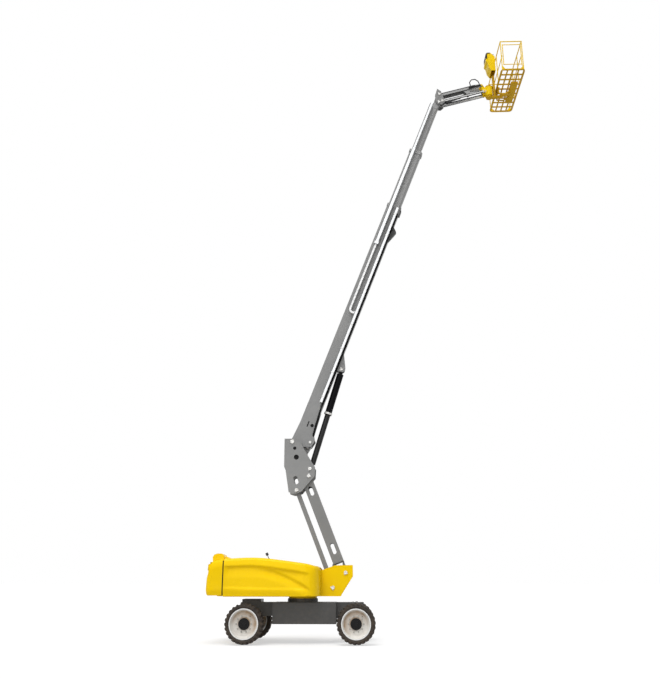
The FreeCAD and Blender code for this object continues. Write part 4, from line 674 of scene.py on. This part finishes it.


# ---- Lower arm, tie rod and knuckle ----
# Welded plate sprayed silver-grey: the boxed arm in front, the twin tie rod behind, and the knuckle's
# two side plates that carry the boom. Pins are zinc-plated and held by keeper plates. Black discs set a
# little way down the knuckle's access holes are painted shade for their dark insides.

SILVER_GREY = (0.222, 0.222, 0.218)
BOOM_GREY = (0.255, 0.255, 0.252)
FLY_GREY = (0.315, 0.315, 0.312)
ZINC_BRIGHT = (0.80, 0.80, 0.79)
ZINC_DULL = (0.50, 0.48, 0.44)
STEEL_BARE = (0.12, 0.10, 0.09)
BOOM_BARE = (0.14, 0.12, 0.11)
FLY_BARE = (0.16, 0.14, 0.12)
ARM_PIVOT = (1.218, 1.853)
ROD_PIVOT = (0.867, 1.453)
ARM_TOP = (0.151, 4.561)
ROD_TOP = (-0.200, 4.161)
BOOM_ROOT = (-0.343, 5.578)
LUFF_ROOT = (0.191, 4.775)
CHEEK_FACE = 0.466
KNUCKLE_FACE = 0.343
PIN_RADIUS = 0.042
ROOT_PIN_RADIUS = 0.050
AXIS_GAP = 0.0004
KEEPER_HALF = 0.058
KEEPER_TALL = 0.026
KEEPER_BOLTS = (-0.043, 0.043)
KEEPER_BOLT_SIZE = 0.019
SHADE_PLUG_DEPTH = 0.012
KNUCKLE_WEB = 0.325
KNUCKLE_HOLES = ((-0.420, 0.822, 0.050), (-0.369, 0.555, 0.075))


def block(shape, low, high, edge=0.003, segments=2):
    """A bevelled block between two corners, given in any order."""
    made = bmesh.ops.create_cube(shape, size=1)["verts"]
    bmesh.ops.scale(shape, vec=[abs(side) for side in Vector(high) - Vector(low)], verts=made)
    bmesh.ops.translate(shape, vec=(Vector(low) + Vector(high)) / 2, verts=made)
    soften(shape, made, edge, segments)


def joined(shape, part, matrix):
    """Put a small mesh into a larger one at its place."""
    bmesh.ops.recalc_face_normals(part, faces=part.faces[:])
    bmesh.ops.transform(part, matrix=matrix, verts=part.verts[:])
    held = bpy.data.meshes.new("held")
    part.to_mesh(held)
    part.free()
    shape.from_mesh(held)
    bpy.data.meshes.remove(held)


def side_place(point, angle):
    """The matrix from an arm's own frame, along X and up Z, to its place in the side plane."""
    return Matrix.Translation((point[0], 0, point[1])) @ Matrix.Rotation(-angle, 4, "Y")


def pin_cap(shape, point, face, radius, angle):
    """A pin's end, turned from AXIS_GAP off its axis, and the keeper plate across it, on one side."""
    way = 1 if face > 0 else -1
    part = bmesh.new()
    turned(part, [(r, face + way * out) for r, out in
                  ((AXIS_GAP, -0.002), (radius * 1.16, -0.002), (radius * 1.16, 0.003), (radius, 0.003),
                   (radius, 0.008), (radius - 0.004, 0.012), (radius * 0.35, 0.012), (radius * 0.28, 0.008),
                   (AXIS_GAP, 0.008))], steps=32)
    foot = radius * 0.62
    block(part, (-KEEPER_HALF, face + way * 0.004, foot),
          (KEEPER_HALF, face + way * 0.013, foot + KEEPER_TALL))
    for x in KEEPER_BOLTS:
        bolt = bmesh.new()
        hexagon_heads(bolt, 1, 0.0, KEEPER_BOLT_SIZE, way * 0.009, face + way * 0.012)
        joined(part, bolt, Matrix.Translation((x, 0, foot + KEEPER_TALL / 2)))
    joined(shape, part, side_place(point, angle))


def add_pins(name, body, places):
    """Pin ends on both sides of a row of joints that stand on one body."""
    shape = bmesh.new()
    for point, face, radius, angle in places:
        for way in (-1, 1):
            pin_cap(shape, point, face * way, radius, math.radians(angle))
    merge_doubles(shape)
    add_piece(name, shape, pin_zinc, body)


def make_pin_zinc():
    """Bright zinc plating, dulled in patches."""
    material, tree, surface = new_finish("pin_zinc")
    cloud = spread(tree, noise(tree, object_place(tree), 22.0, 5.0), 0.35, 0.7)
    colour = blend_colours(tree, cloud, (*ZINC_BRIGHT, 1), (*ZINC_DULL, 1))
    tree.links.new(colour, surface.inputs["Base Color"])
    tree.links.new(spread(tree, cloud, 0.0, 1.0, 0.28, 0.5), surface.inputs["Roughness"])
    surface.inputs["Metallic"].default_value = 0.35
    return material


def arm_spray(name, colour, bare, mottle, gloss, wear=0.5):
    """The arms' sprayed paint, too far off the ground to take much dust."""
    return painted(name, colour, bare=bare, wear=wear, mottle=mottle, dust_height=2.0, dust=0.1, gloss=gloss)


def shade_plug(shape, point, radius, face, way):
    """A dished black disc a little way down a hole, painted shade for its dark inside."""
    part = bmesh.new()
    turned(part, [(r, way * (face - SHADE_PLUG_DEPTH - back)) for r, back in
                  ((AXIS_GAP, 0.004), (radius + 0.0003, 0.004), (radius + 0.0003, 0.0),
                   (radius - 0.006, 0.0), (radius - 0.009, 0.002), (AXIS_GAP, 0.002))], steps=36)
    joined(shape, part, Matrix.Translation((point[0], 0, point[1])))


arm_paint = arm_spray("arm_paint", SILVER_GREY, STEEL_BARE, 0.07, 0.40)
boom_paint = arm_spray("boom_paint", BOOM_GREY, BOOM_BARE, 0.06, 0.40)
fly_paint = arm_spray("fly_paint", FLY_GREY, FLY_BARE, 0.05, 0.36, wear=0.4)
coat_nodes(arm_paint, "lower_arm", "lower_tie_rod")
coat_nodes(boom_paint, "knuckle")
coat_nodes(fly_paint, "boom_middle", "boom_fly")
pin_zinc = make_pin_zinc()
add_pins("turret_pins", "turret", [(ARM_PIVOT, CHEEK_FACE, PIN_RADIUS, 200),
                                   (ROD_PIVOT, CHEEK_FACE, PIN_RADIUS, 130)])
add_pins("knuckle_pins", "knuckle", [(ARM_TOP, KNUCKLE_FACE, PIN_RADIUS, 300),
                                     (ROD_TOP, KNUCKLE_FACE, PIN_RADIUS, 200),
                                     (BOOM_ROOT, KNUCKLE_FACE, ROOT_PIN_RADIUS, 20),
                                     (LUFF_ROOT, KNUCKLE_FACE, PIN_RADIUS, 100)])
# Painted shade: black discs in the knuckle's access holes, standing for their dark insides.
plugs = bmesh.new()
for x, z, radius in KNUCKLE_HOLES:
    for way in (-1, 1):
        shade_plug(plugs, (ARM_TOP[0] + x, ARM_TOP[1] + z), radius, KNUCKLE_WEB, way)
merge_doubles(plugs)
add_piece("knuckle_hole_shades", plugs, black_rubber_and_shade, "knuckle")


# ---- Boom's fittings ----
# Black discs and sheets set into the root's hole and slot are painted shade for their dark insides. Two
# hoses are clipped under the right side, and zinc straps sit on the hose tray. Black strips along the tray's
# and the conduits' edges are painted shade lines, and the fin under the boom's outer end is darkened as
# painted shade. Bolts hold the wear pads at the mouth of each section, and the pins have turned caps.

BOOM_ANGLE = math.radians(69.0)
ROOT_SIDE = 0.195
UNDERSIDE = -0.440
FIN_START = 7.230
FIN_SHADE = (0.050, 0.050, 0.050)
ROOT_RING = (0.187, -0.486)
LUG_PIN = (2.660, -0.556)
LUG_PIN_END = 0.110
LUG_PIN_RADIUS = 0.038
HOSE_RADIUS = 0.017
HOSE_Y = -0.163
HOSE_T = -0.398
CLIP_START, CLIP_PITCH, CLIP_COUNT = 1.70, 0.85, 8
CLIP_LEAN = math.radians(135)
STRAP_START, STRAP_PITCH, STRAP_COUNT = 1.62, 0.82, 9
STRAP_HALF = 0.013
TRAY_START, TRAY_END = 1.438, 8.432
TRAY_Y = -0.240
TRAY_SHADE_LINES = (-0.394, -0.312)
CONDUIT_T = -0.125
CONDUITS = (("conduit_shade_lines", "boom_middle", 6.965, 10.72, 0.055),
            ("fly_conduit_shade_lines", "boom_fly", 9.31, 12.63, 0.045))
ROOT_HOLE = (0.681, -0.357)
ROOT_HOLE_RADIUS = 0.052
ROOT_SLOT = (0.5928, 0.7772)
ROOT_SLOT_T = (-0.2422, -0.2078)
PADS = (("outer_pad_bolts", "boom", 8.495, 0.180, (-0.030, -0.235, -0.345)),
        ("middle_pad_bolts", "boom_middle", 10.695, 0.165, (-0.040, -0.235, -0.335)))
PAD_BOLT_SIZE = 0.024
PAD_BOLT_TALL = 0.012
PAD_BOLT_GAP = 0.032


def hose_run(shape, points, radius, sides=12):
    """A round hose swept through a row of points, closed at both ends."""
    rows = []
    for place, point in enumerate(points):
        before = Vector(points[max(place - 1, 0)])
        after = Vector(points[min(place + 1, len(points) - 1)])
        along = (after - before).normalized()
        across = along.cross(Vector((0, 1, 0))).normalized()
        other = along.cross(across)
        turns = [math.tau * k / sides for k in range(sides)]
        rows.append([shape.verts.new(Vector(point) + across * radius * math.cos(turn)
                                     + other * radius * math.sin(turn)) for turn in turns])
    for near, far in zip(rows, rows[1:]):
        for k in range(sides):
            shape.faces.new((near[k], near[(k + 1) % sides], far[(k + 1) % sides], far[k]))
    shape.faces.new(rows[0])
    shape.faces.new(rows[-1])


def make_outer_paint():
    """The boom's grey, with the fin under its outer end darkened as painted shade."""
    material = arm_spray("outer_paint", BOOM_GREY, BOOM_BARE, 0.06, 0.40)
    tree = material.node_tree
    parts = wire(tree, "ShaderNodeSeparateXYZ", {0: object_place(tree)})
    across = maths(tree, "SUBTRACT", parts.outputs[0], BOOM_ROOT[0])
    up = maths(tree, "SUBTRACT", parts.outputs[2], BOOM_ROOT[1])
    reach = maths(tree, "ADD", times(tree, across, math.cos(BOOM_ANGLE)),
                  times(tree, up, math.sin(BOOM_ANGLE)))
    height = maths(tree, "SUBTRACT", times(tree, up, math.cos(BOOM_ANGLE)),
                   times(tree, across, math.sin(BOOM_ANGLE)))
    # Painted shade: the fin below the boom's underside is darkened.
    fin = times(tree, spread(tree, height, UNDERSIDE - 0.003, UNDERSIDE - 0.006),
                spread(tree, reach, FIN_START - 0.10, FIN_START - 0.05))
    overpaint(material, fin, FIN_SHADE)
    return material


coat_nodes(make_outer_paint(), "boom_outer")


def add_boom_part(name, shape, material, body):
    """Place a mesh built in the boom's own frame, along X from its root and up Z."""
    return add_placed(name, shape, side_place(BOOM_ROOT, BOOM_ANGLE), material, body)


hoses = bmesh.new()
for step, bend in ((0.0, 0.0), (0.028, 0.04)):
    run = [(0.385, -ROOT_SIDE + 0.01, -0.516), (0.42, -ROOT_SIDE - HOSE_RADIUS, -0.516 + step),
           (0.75, -ROOT_SIDE - HOSE_RADIUS, -0.478 + step), (1.20, -ROOT_SIDE - HOSE_RADIUS, -0.440 + step),
           (1.42 + bend, HOSE_Y + step, HOSE_T - step)]
    run += [(1.8 + 0.5 * k, HOSE_Y + step, HOSE_T - step) for k in range(13)]
    run += [(8.15 + bend, HOSE_Y + step, HOSE_T - step), (8.24 + bend, -0.150 + step, -0.385 - step)]
    hose_run(hoses, run, HOSE_RADIUS)
add_boom_part("boom_hoses", hoses, black_rubber_and_shade, "boom")

clips_and_tray_shade = bmesh.new()
for k in range(CLIP_COUNT):
    part = bmesh.new()
    block(part, (-0.016, -0.042, -0.004), (0.016, 0.042, 0.044), 0.006)
    place = Matrix.Translation((CLIP_START + CLIP_PITCH * k, -0.137, -0.400))
    joined(clips_and_tray_shade, part, place @ Matrix.Rotation(CLIP_LEAN, 4, "X"))
# Painted shade: black strips along the tray's two edges stand for shade lines.
for t in TRAY_SHADE_LINES:
    block(clips_and_tray_shade, (TRAY_START, TRAY_Y - 0.0485, t - 0.004), (TRAY_END, TRAY_Y - 0.044, t + 0.004), 0.001, 1)
add_boom_part("boom_clips_and_tray_shade", clips_and_tray_shade, black_rubber_and_shade, "boom")

straps = bmesh.new()
for k in range(STRAP_COUNT):
    s = STRAP_START + STRAP_PITCH * k
    block(straps, (s - STRAP_HALF, TRAY_Y - 0.050, -0.396), (s + STRAP_HALF, TRAY_Y - 0.0445, -0.304), 0.002)
add_boom_part("tray_straps", straps, pin_zinc, "boom")

# Painted shade: black strips along each conduit's upper and lower edges stand for shade lines.
for name, body, start, end, half in CONDUITS:
    edges = bmesh.new()
    for way in (-1, 1):
        t = CONDUIT_T + way * (half - 0.004)
        block(edges, (start, TRAY_Y - half - 0.004, t - 0.005), (end, TRAY_Y - half + 0.001, t + 0.005),
              0.001, 1)
    add_boom_part(name, edges, black_rubber_and_shade, body)

# Painted shade: black discs in the root plate's hole and black sheets in its slot, standing for their dark
# insides.
root_hole_shades = bmesh.new()
for way in (-1, 1):
    shade_plug(root_hole_shades, ROOT_HOLE, ROOT_HOLE_RADIUS, ROOT_SIDE, way)
    block(root_hole_shades, (ROOT_SLOT[0], way * (ROOT_SIDE - 0.014), ROOT_SLOT_T[0]),
          (ROOT_SLOT[1], way * (ROOT_SIDE - 0.008), ROOT_SLOT_T[1]), 0.001)
merge_doubles(root_hole_shades)
add_boom_part("boom_root_hole_shades", root_hole_shades, black_rubber_and_shade, "boom")

pin_ends = bmesh.new()
for way in (-1, 1):
    ring = bmesh.new()
    turned(ring, [(radius, way * y) for radius, y in
                  ((AXIS_GAP, 0.213), (0.0385, 0.213), (0.0385, 0.2165), (0.0355, 0.218), (0.022, 0.218),
                   (0.019, 0.216), (AXIS_GAP, 0.216))], steps=32)
    joined(pin_ends, ring, Matrix.Translation((ROOT_RING[0], 0, ROOT_RING[1])))
    pin_cap(pin_ends, LUG_PIN, way * LUG_PIN_END, LUG_PIN_RADIUS, 0.0)
merge_doubles(pin_ends)
add_boom_part("boom_pins", pin_ends, pin_zinc, "boom")

for name, body, place, face, rows in PADS:
    pads = bmesh.new()
    for t in rows:
        for way in (-1, 1):
            for s in (place - PAD_BOLT_GAP, place + PAD_BOLT_GAP):
                bolt = bmesh.new()
                hexagon_heads(bolt, 1, 0.0, PAD_BOLT_SIZE, way * PAD_BOLT_TALL, way * (face - 0.001))
                joined(pads, bolt, Matrix.Translation((s, 0, t)))
    add_boom_part(name, pads, pin_zinc, body)


# ---- Cylinders ----
# Black-painted barrels over chromed rods, whose near-black colour is a painted dark reflection. The boom's
# own cylinder hangs rod-down between the knuckle plates, with a bright gland ring at the barrel's end; the
# jib's is coated with the jib.

LUFF_EYE = (1.129, 7.862)
GLAND_PLACE, GLAND_HALF = 1.440, 0.030
GLAND_BORE, GLAND_OUT = 0.095, 0.124
ROD_DARK_REFLECTION = (0.022, 0.022, 0.023)
ROD_DARKER_REFLECTION = (0.012, 0.011, 0.010)
BARREL_BLACK = (0.004, 0.004, 0.005)


def make_chrome():
    """Hard chrome whose near-black colour is a painted dark reflection, darker in cloudy patches."""
    material, tree, surface = new_finish("rod_chrome")
    place = object_place(tree)
    # Painted reflection: the near-black colours stand in for chrome's dark reflection.
    film = spread(tree, noise(tree, place, 14.0, 5.0), 0.40, 0.7)
    tree.links.new(blend_colours(tree, film, (*ROD_DARK_REFLECTION, 1), (*ROD_DARKER_REFLECTION, 1)), surface.inputs["Base Color"])
    tree.links.new(spread(tree, film, 0.0, 1.0, 0.16, 0.34), surface.inputs["Roughness"])
    add_relief(tree, surface, noise(tree, place, 300.0, 1.0), 0.08, 0.001)
    surface.inputs["Specular IOR Level"].default_value = 0.16
    return material


def gland_ring(foot, head):
    """A chamfered ring round a cylinder's axis, where the rod leaves the barrel."""
    shape = bmesh.new()
    turned(shape, [(radius, GLAND_PLACE + along) for radius, along in
                   ((GLAND_BORE, -GLAND_HALF), (GLAND_OUT - 0.004, -GLAND_HALF),
                    (GLAND_OUT, 0.004 - GLAND_HALF), (GLAND_OUT, GLAND_HALF - 0.004),
                    (GLAND_OUT - 0.004, GLAND_HALF), (GLAND_BORE, GLAND_HALF))], axis="Z", steps=48)
    start = Vector((foot[0], 0, foot[1]))
    aim = Vector((head[0], 0, head[1])) - start
    return shape, Matrix.Translation(start) @ aim.to_track_quat("Z", "Y").to_matrix().to_4x4()


rod_chrome = make_chrome()
barrel_black = painted("barrel_black", BARREL_BLACK, bare=(0.03, 0.03, 0.03), wear=0.3, mottle=0.1,
                       dust=0.0, gloss=0.36, specular=0.06)
coat_nodes(rod_chrome, "lower_cylinder_rod", "luff_cylinder_rod")
coat_nodes(barrel_black, "lower_cylinder_barrel", "luff_cylinder_barrel", "jib_pipe")
gland, gland_place = gland_ring(LUFF_EYE, LUFF_ROOT)
add_placed("luff_gland", gland, gland_place, pin_zinc, "luff_barrel")


# ---- Cable tray, conduits and track ----
# Galvanised square tubes and an open tray carry the hoses along the boom's right side. A folding chain of
# plated links joins them while the boom slides: pairs of side plates held apart by bars round the hoses.

TRACK_HALF = 0.0345
TRACK_TOP_T = -0.125
TRACK_LOW_T = -0.351
TRACK_BEND_S = 4.599
TRACK_TOP_END = 7.750
TRACK_LOW_END = 6.900
TRACK_RADIUS = (TRACK_TOP_T - TRACK_LOW_T) / 2
TRACK_UPPER = TRACK_TOP_END - TRACK_BEND_S
TRACK_TURN = math.pi * TRACK_RADIUS
TRACK_LENGTH = TRACK_UPPER + TRACK_TURN + TRACK_LOW_END - TRACK_BEND_S
LINK_PITCH = 0.086
LINK_REACH = LINK_PITCH * 0.60
LINK_HALF = 0.030
LINK_PLATE = 0.006
SHEET_DARK, SHEET_LIGHT = (0.60, 0.61, 0.62), (0.78, 0.79, 0.80)
LINK_DARK, LINK_LIGHT = (0.74, 0.74, 0.74), (0.88, 0.88, 0.88)
TRACK_HOSES = ((-0.013, 0.006), (0.013, -0.004), (0.0, -0.014))
TRACK_HOSE_RADIUS = 0.011
TRACK_HOSE_STEPS = 71


def make_zinc(name, dark, light, metallic):
    """Galvanised sheet: pale cloudy plating with a fine spangle."""
    material, tree, surface = new_finish(name)
    place = object_place(tree)
    flakes = wire(tree, "ShaderNodeTexVoronoi", {"Vector": place, "Scale": 55.0}).outputs["Distance"]
    cloud = spread(tree, noise(tree, place, 3.0, 5.0), 0.3, 0.7)
    tone = maths(tree, "ADD", times(tree, flakes, 0.3), times(tree, cloud, 0.6), True)
    tree.links.new(blend_colours(tree, tone, (*dark, 1), (*light, 1)), surface.inputs["Base Color"])
    tree.links.new(spread(tree, tone, 0.0, 1.0, 0.34, 0.50), surface.inputs["Roughness"])
    add_relief(tree, surface, flakes, 0.1, 0.001)
    surface.inputs["Metallic"].default_value = metallic
    return material


def track_point(distance):
    """Along, up and direction at a distance down the track, from the upper end round to the lower one."""
    if distance < TRACK_UPPER:
        return TRACK_TOP_END - distance, TRACK_TOP_T, math.pi
    if distance < TRACK_UPPER + TRACK_TURN:
        angle = (distance - TRACK_UPPER) / TRACK_RADIUS
        return (TRACK_BEND_S - TRACK_RADIUS * math.sin(angle),
                TRACK_TOP_T - TRACK_RADIUS + TRACK_RADIUS * math.cos(angle), math.pi + angle)
    return TRACK_BEND_S + distance - TRACK_UPPER - TRACK_TURN, TRACK_LOW_T, 0.0


def track_link(shape, place, wide):
    """One link: two rounded side plates, a bar above and one below, in its place on the path."""
    s, t, angle = track_point(place)
    face = TRACK_HALF if wide else TRACK_HALF - LINK_PLATE - 0.001
    part = bmesh.new()
    for way in (-1, 1):
        block(part, (-LINK_REACH, way * face, -LINK_HALF),
              (LINK_REACH, way * (face - LINK_PLATE), LINK_HALF), 0.0025, 1)
    for z in (-0.0325, 0.0285):
        block(part, (-0.010, 0.001 - TRACK_HALF, z), (0.010, TRACK_HALF - 0.001, z + 0.004), 0.001, 1)
    joined(shape, part, Matrix.Translation((s, TRAY_Y, t)) @ Matrix.Rotation(-angle, 4, "Y"))


zinc_sheet = make_zinc("zinc_sheet", SHEET_DARK, SHEET_LIGHT, 0.6)
link_zinc = make_zinc("link_zinc", LINK_DARK, LINK_LIGHT, 0.2)
coat_nodes(zinc_sheet, "cable_tray", "middle_conduit", "fly_conduit")
link_count = int(TRACK_LENGTH / LINK_PITCH)
links = bmesh.new()
for step in range(link_count):
    track_link(links, (step + 0.5) * TRACK_LENGTH / link_count, step % 2 == 0)
piece = add_boom_part("track_links", links, link_zinc, "cable_track")
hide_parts("cable_track")
bundle = bmesh.new()
for y, lift in TRACK_HOSES:
    path = []
    for step in range(TRACK_HOSE_STEPS + 1):
        s, t, angle = track_point(min(step * TRACK_LENGTH / TRACK_HOSE_STEPS, TRACK_LENGTH - 0.001))
        path.append((s - lift * math.sin(angle), TRAY_Y + y, t + lift * math.cos(angle)))
    hose_run(bundle, path, TRACK_HOSE_RADIUS, 8)
add_boom_part("track_hoses", bundle, black_rubber_and_shade, "cable_track")


# ---- Jib ----
# A short parallelogram between the boom head and the platform, silver on its sides and near black on its
# cylinder, its down-facing faces blackened as painted shade. A stiff hose arches over the outer joint, and
# black strips along both arms' edges are painted shade lines.

JIB_GREY = (0.34, 0.34, 0.335)
LINK_SILVER = (0.62, 0.62, 0.61)
PAINTED_SHADE_BLACK = (0.012, 0.012, 0.012)
JIB_DARK = (0.045, 0.045, 0.046)
JIB_TILT = math.radians(14.8)
BRACKET_FACE = 0.209
CYLINDER_ROOT = (4.560, 17.420)
LINK_ROOT = (4.680, 17.470)
JIB_ROOT = (4.590, 17.740)
JIB_PIN_RADIUS = 0.034
JIB_LONG = 1.530
SHADE_STRIP_THICK = 0.006
BEAM_SIDE = 0.089
FORK_SIDE = 0.116
LINK_SIDE = 0.159


def shade_undersides(material):
    """Blacken the faces that look down, as painted shade on the undersides."""
    tree = material.node_tree
    normal = tree.nodes.new("ShaderNodeTexCoord").outputs["Normal"]
    facing = wire(tree, "ShaderNodeSeparateXYZ", {0: normal})
    overpaint(material, spread(tree, facing.outputs[2], -0.30, -0.70, 0.0, 0.92), PAINTED_SHADE_BLACK)


def side_shade_strip(shape, side, start, end, low, high, edge=0.003, segments=2):
    """A flat black strip on each side of an arm, painted shade along its edge, its feet on the arm's side
    faces.
    """
    for way in (-1, 1):
        block(shape, (start, way * side, low), (end, way * (side + SHADE_STRIP_THICK), high), edge, segments)


jib_paint = arm_spray("jib_paint", JIB_GREY, STEEL_BARE, 0.10, 0.38)
jib_dark = arm_spray("jib_dark", JIB_DARK, (0.2, 0.2, 0.2), 0.15, 0.34)
link_paint = arm_spray("link_paint", LINK_SILVER, STEEL_BARE, 0.08, 0.36)
# Painted shade on the undersides of the jib's beam and link.
shade_undersides(jib_paint)
shade_undersides(link_paint)
coat_nodes(arm_paint, "jib_bracket")
coat_nodes(jib_paint, "jib_upper_beam")
coat_nodes(link_paint, "jib_lower_link")
coat_nodes(jib_dark, "jib_cylinder_barrel", "jib_cylinder_rod")
coat_nodes(black_rubber_and_shade, "jib_hose")
add_pins("jib_pins", "jib_bracket",
         [(root, BRACKET_FACE, JIB_PIN_RADIUS, 100) for root in (CYLINDER_ROOT, LINK_ROOT, JIB_ROOT)])

# Painted shade: black strips along the edges of the upper beam and its fork.
edges = bmesh.new()
for t in (-0.032, 0.078):
    side_shade_strip(edges, BEAM_SIDE, 0.10, 1.18, t - 0.012, t + 0.012, 0.0015, 1)
side_shade_strip(edges, FORK_SIDE, 1.07, 1.51, -0.036, 0.040)
side_shade_strip(edges, FORK_SIDE, 1.08, 1.30, 0.036, 0.070)
add_placed("jib_shade_lines", edges, side_place(JIB_ROOT, JIB_TILT), black_rubber_and_shade, "jib")

# Painted shade: black strips along the lower link's upper and lower edges.
link_shade_strips = bmesh.new()
for t in (-0.033, 0.033):
    side_shade_strip(link_shade_strips, LINK_SIDE, 0.07, JIB_LONG - 0.07, t - 0.010, t + 0.010, 0.0015, 1)
add_placed("link_edges", link_shade_strips, side_place(LINK_ROOT, JIB_TILT), black_rubber_and_shade, "jib_link")


# ---- Platform ----
# The welded cage: tube rails over an open floor on a turning frame, all sprayed yellow; the floor and its
# frame are a darker gold as painted shade for their undersides, and worn by boots and weather. The console
# has a black panel with levers and a rubber edge to its hood.

SHADED_FLOOR_GOLD = (0.62, 0.36, 0.010)
RAIL_YELLOW = (0.90, 0.61, 0.004)
FLOOR_TOP = 17.960
CONSOLE_X = 6.583
CONSOLE_Y = (-0.240, 0.200)
PANEL_TOP = FLOOR_TOP + 1.425
PANEL_RUN = 0.153
PANEL_DROP = 0.155
PANEL_LENGTH = math.hypot(PANEL_RUN, PANEL_DROP)
PANEL_EDGE = 0.012
HOOD_EDGES = ((-0.305, 1.165, -0.262, 1.392), (-0.275, 1.385, -0.150, 1.4245))
HOOD_PAST = 0.006
LEVER_PLACES = (-0.16, -0.06, 0.10)
LEVER_PARTS = ((0.018, 0.004, 0.018), (0.006, 0.015, 0.070), (0.013, 0.056, 0.084))


def on_panel(share):
    """The matrix of a place on the console's sloping face, as a share of the way down from its top."""
    place = Vector((CONSOLE_X - PANEL_RUN * (1.0 - share), 0, PANEL_TOP - PANEL_DROP * share))
    return Matrix.Translation(place) @ Matrix.Rotation(math.atan2(PANEL_DROP, PANEL_RUN), 4, "Y")


# Painted shade: the floor and its frame are a darker gold than the rails, for their shaded undersides.
shaded_floor_paint = painted("shaded_floor_paint", SHADED_FLOOR_GOLD, bare=(0.16, 0.10, 0.03), wear=0.8, mottle=0.22,
                      dust_height=2.0, dust=0.1, gloss=0.5, specular=0.2, sheen_colour=YELLOW_SHEEN)
rail_paint = painted("rail_paint", RAIL_YELLOW, bare=(0.40, 0.30, 0.06), wear=0.4, mottle=0.05,
                     dust_height=1.9, dust=0.08, gloss=0.34, specular=0.2, sheen_colour=YELLOW_SHEEN)
coat_nodes(rail_paint, "platform_support", "cage_top_rail", "cage_mid_rail", "cage_posts",
           "corner_gussets", "gate_brackets", "harness_anchors", "cage_gate", "control_box")
coat_nodes(shaded_floor_paint, "cage_floor", "platform_frame")

panel = bmesh.new()
part = bmesh.new()
block(part, (-PANEL_LENGTH / 2 + 0.008, CONSOLE_Y[0] + PANEL_EDGE, -0.002),
      (PANEL_LENGTH / 2 - 0.008, CONSOLE_Y[1] - PANEL_EDGE, 0.007))
joined(panel, part, on_panel(0.5))
for near_x, low, far_x, high in HOOD_EDGES:
    block(panel, (CONSOLE_X + near_x, CONSOLE_Y[0] - HOOD_PAST, FLOOR_TOP + low),
          (CONSOLE_X + far_x, CONSOLE_Y[1] + HOOD_PAST, FLOOR_TOP + high), 0.006)
for y in LEVER_PLACES:
    for radius, foot, head in LEVER_PARTS:
        made = bmesh.ops.create_cone(panel, cap_ends=True, segments=16, radius1=radius,
                                     radius2=radius * 0.8, depth=head - foot)["verts"]
        place = on_panel(0.45) @ Matrix.Translation((0, y, (head + foot) / 2))
        bmesh.ops.transform(panel, verts=made, matrix=place)
add_placed("console_panel", panel, Matrix.Identity(4), black_rubber_and_shade, "platform")


# ---- Floor, light and camera ----
# A plain grey floor that is lifted to white where it is seen, so it runs into the white surround and
# keeps the machine's soft shadow. Two wide suns light it, one from overhead and a weaker one in front.

FLOOR_GREY = (0.50, 0.50, 0.50)
FLOOR_LIFT = 0.52
FLOOR_REACH = 900
FLOOR_DROP = 0.001
SURROUND_LIGHT = 0.48


def seen_directly(tree):
    """1 for what the camera sees, straight or in gloss and glass, and 0 for light on its way."""
    rays = tree.nodes.new("ShaderNodeLightPath")
    mirrored = maths(tree, "ADD", rays.outputs["Is Glossy Ray"], rays.outputs["Is Transmission Ray"])
    return maths(tree, "ADD", rays.outputs["Is Camera Ray"], mirrored, True)


def make_floor():
    """Matt grey that takes the shadow, with a glow that only the camera and reflections see."""
    material, tree, surface = new_finish("studio_floor")
    surface.inputs["Base Color"].default_value = (*FLOOR_GREY, 1)
    surface.inputs["Roughness"].default_value = 0.9
    surface.inputs["Specular IOR Level"].default_value = 0.1
    lift = times(tree, seen_directly(tree), FLOOR_LIFT)
    glow = wire(tree, "ShaderNodeEmission", {"Color": (1, 1, 1, 1), "Strength": lift})
    both = wire(tree, "ShaderNodeAddShader", {0: surface.outputs[0], 1: glow.outputs[0]})
    tree.links.new(both.outputs[0], tree.nodes["Material Output"].inputs["Surface"])
    return material


floor_shape = bmesh.new()
bmesh.ops.create_grid(floor_shape, x_segments=1, y_segments=1, size=FLOOR_REACH)
floor = new_object("floor", new_mesh("floor", floor_shape, make_floor()))
floor.location.z = -FLOOR_DROP

surround = bpy.data.worlds.new("surround")
surround.use_nodes = True
bpy.context.scene.world = surround
sky = surround.node_tree
backdrop = sky.nodes["Background"]
backdrop.inputs["Color"].default_value = (1, 1, 1, 1)
sky.links.new(spread(sky, seen_directly(sky), 0.0, 1.0, SURROUND_LIGHT, 1.0), backdrop.inputs["Strength"])


def add_sun(name, strength, spread_degrees, direction):
    """A wide, soft sun that shines in a direction."""
    lamp = bpy.data.lights.new(name, "SUN")
    lamp.energy = strength
    lamp.angle = math.radians(spread_degrees)
    new_object(name, lamp).rotation_euler = Vector(direction).to_track_quat("-Z", "Y").to_euler()


add_sun("overhead_sun", strength=1.75, spread_degrees=40, direction=(0.10, 0.42, -1.0))
add_sun("front_sun", strength=0.95, spread_degrees=60, direction=(0.30, 1.0, -0.25))

SENSOR = 36.0
FOCAL_LENGTH = 39.823009
FAR_CLIP = 3000
CAMERA_PLACE = (1.509, -22.475, 1.573)
CAMERA_PITCH = math.radians(18.02)
CAMERA_YAW = math.radians(1.888)
lens = bpy.data.cameras.new("camera")
lens.sensor_width = SENSOR
lens.sensor_fit = "AUTO"
lens.lens = FOCAL_LENGTH
lens.clip_end = FAR_CLIP
camera = new_object("camera", lens)
camera.location = CAMERA_PLACE
camera.rotation_euler = (math.pi / 2 + CAMERA_PITCH, 0, CAMERA_YAW)
bpy.context.scene.camera = camera
bpy.context.scene.view_settings.view_transform = "Standard"
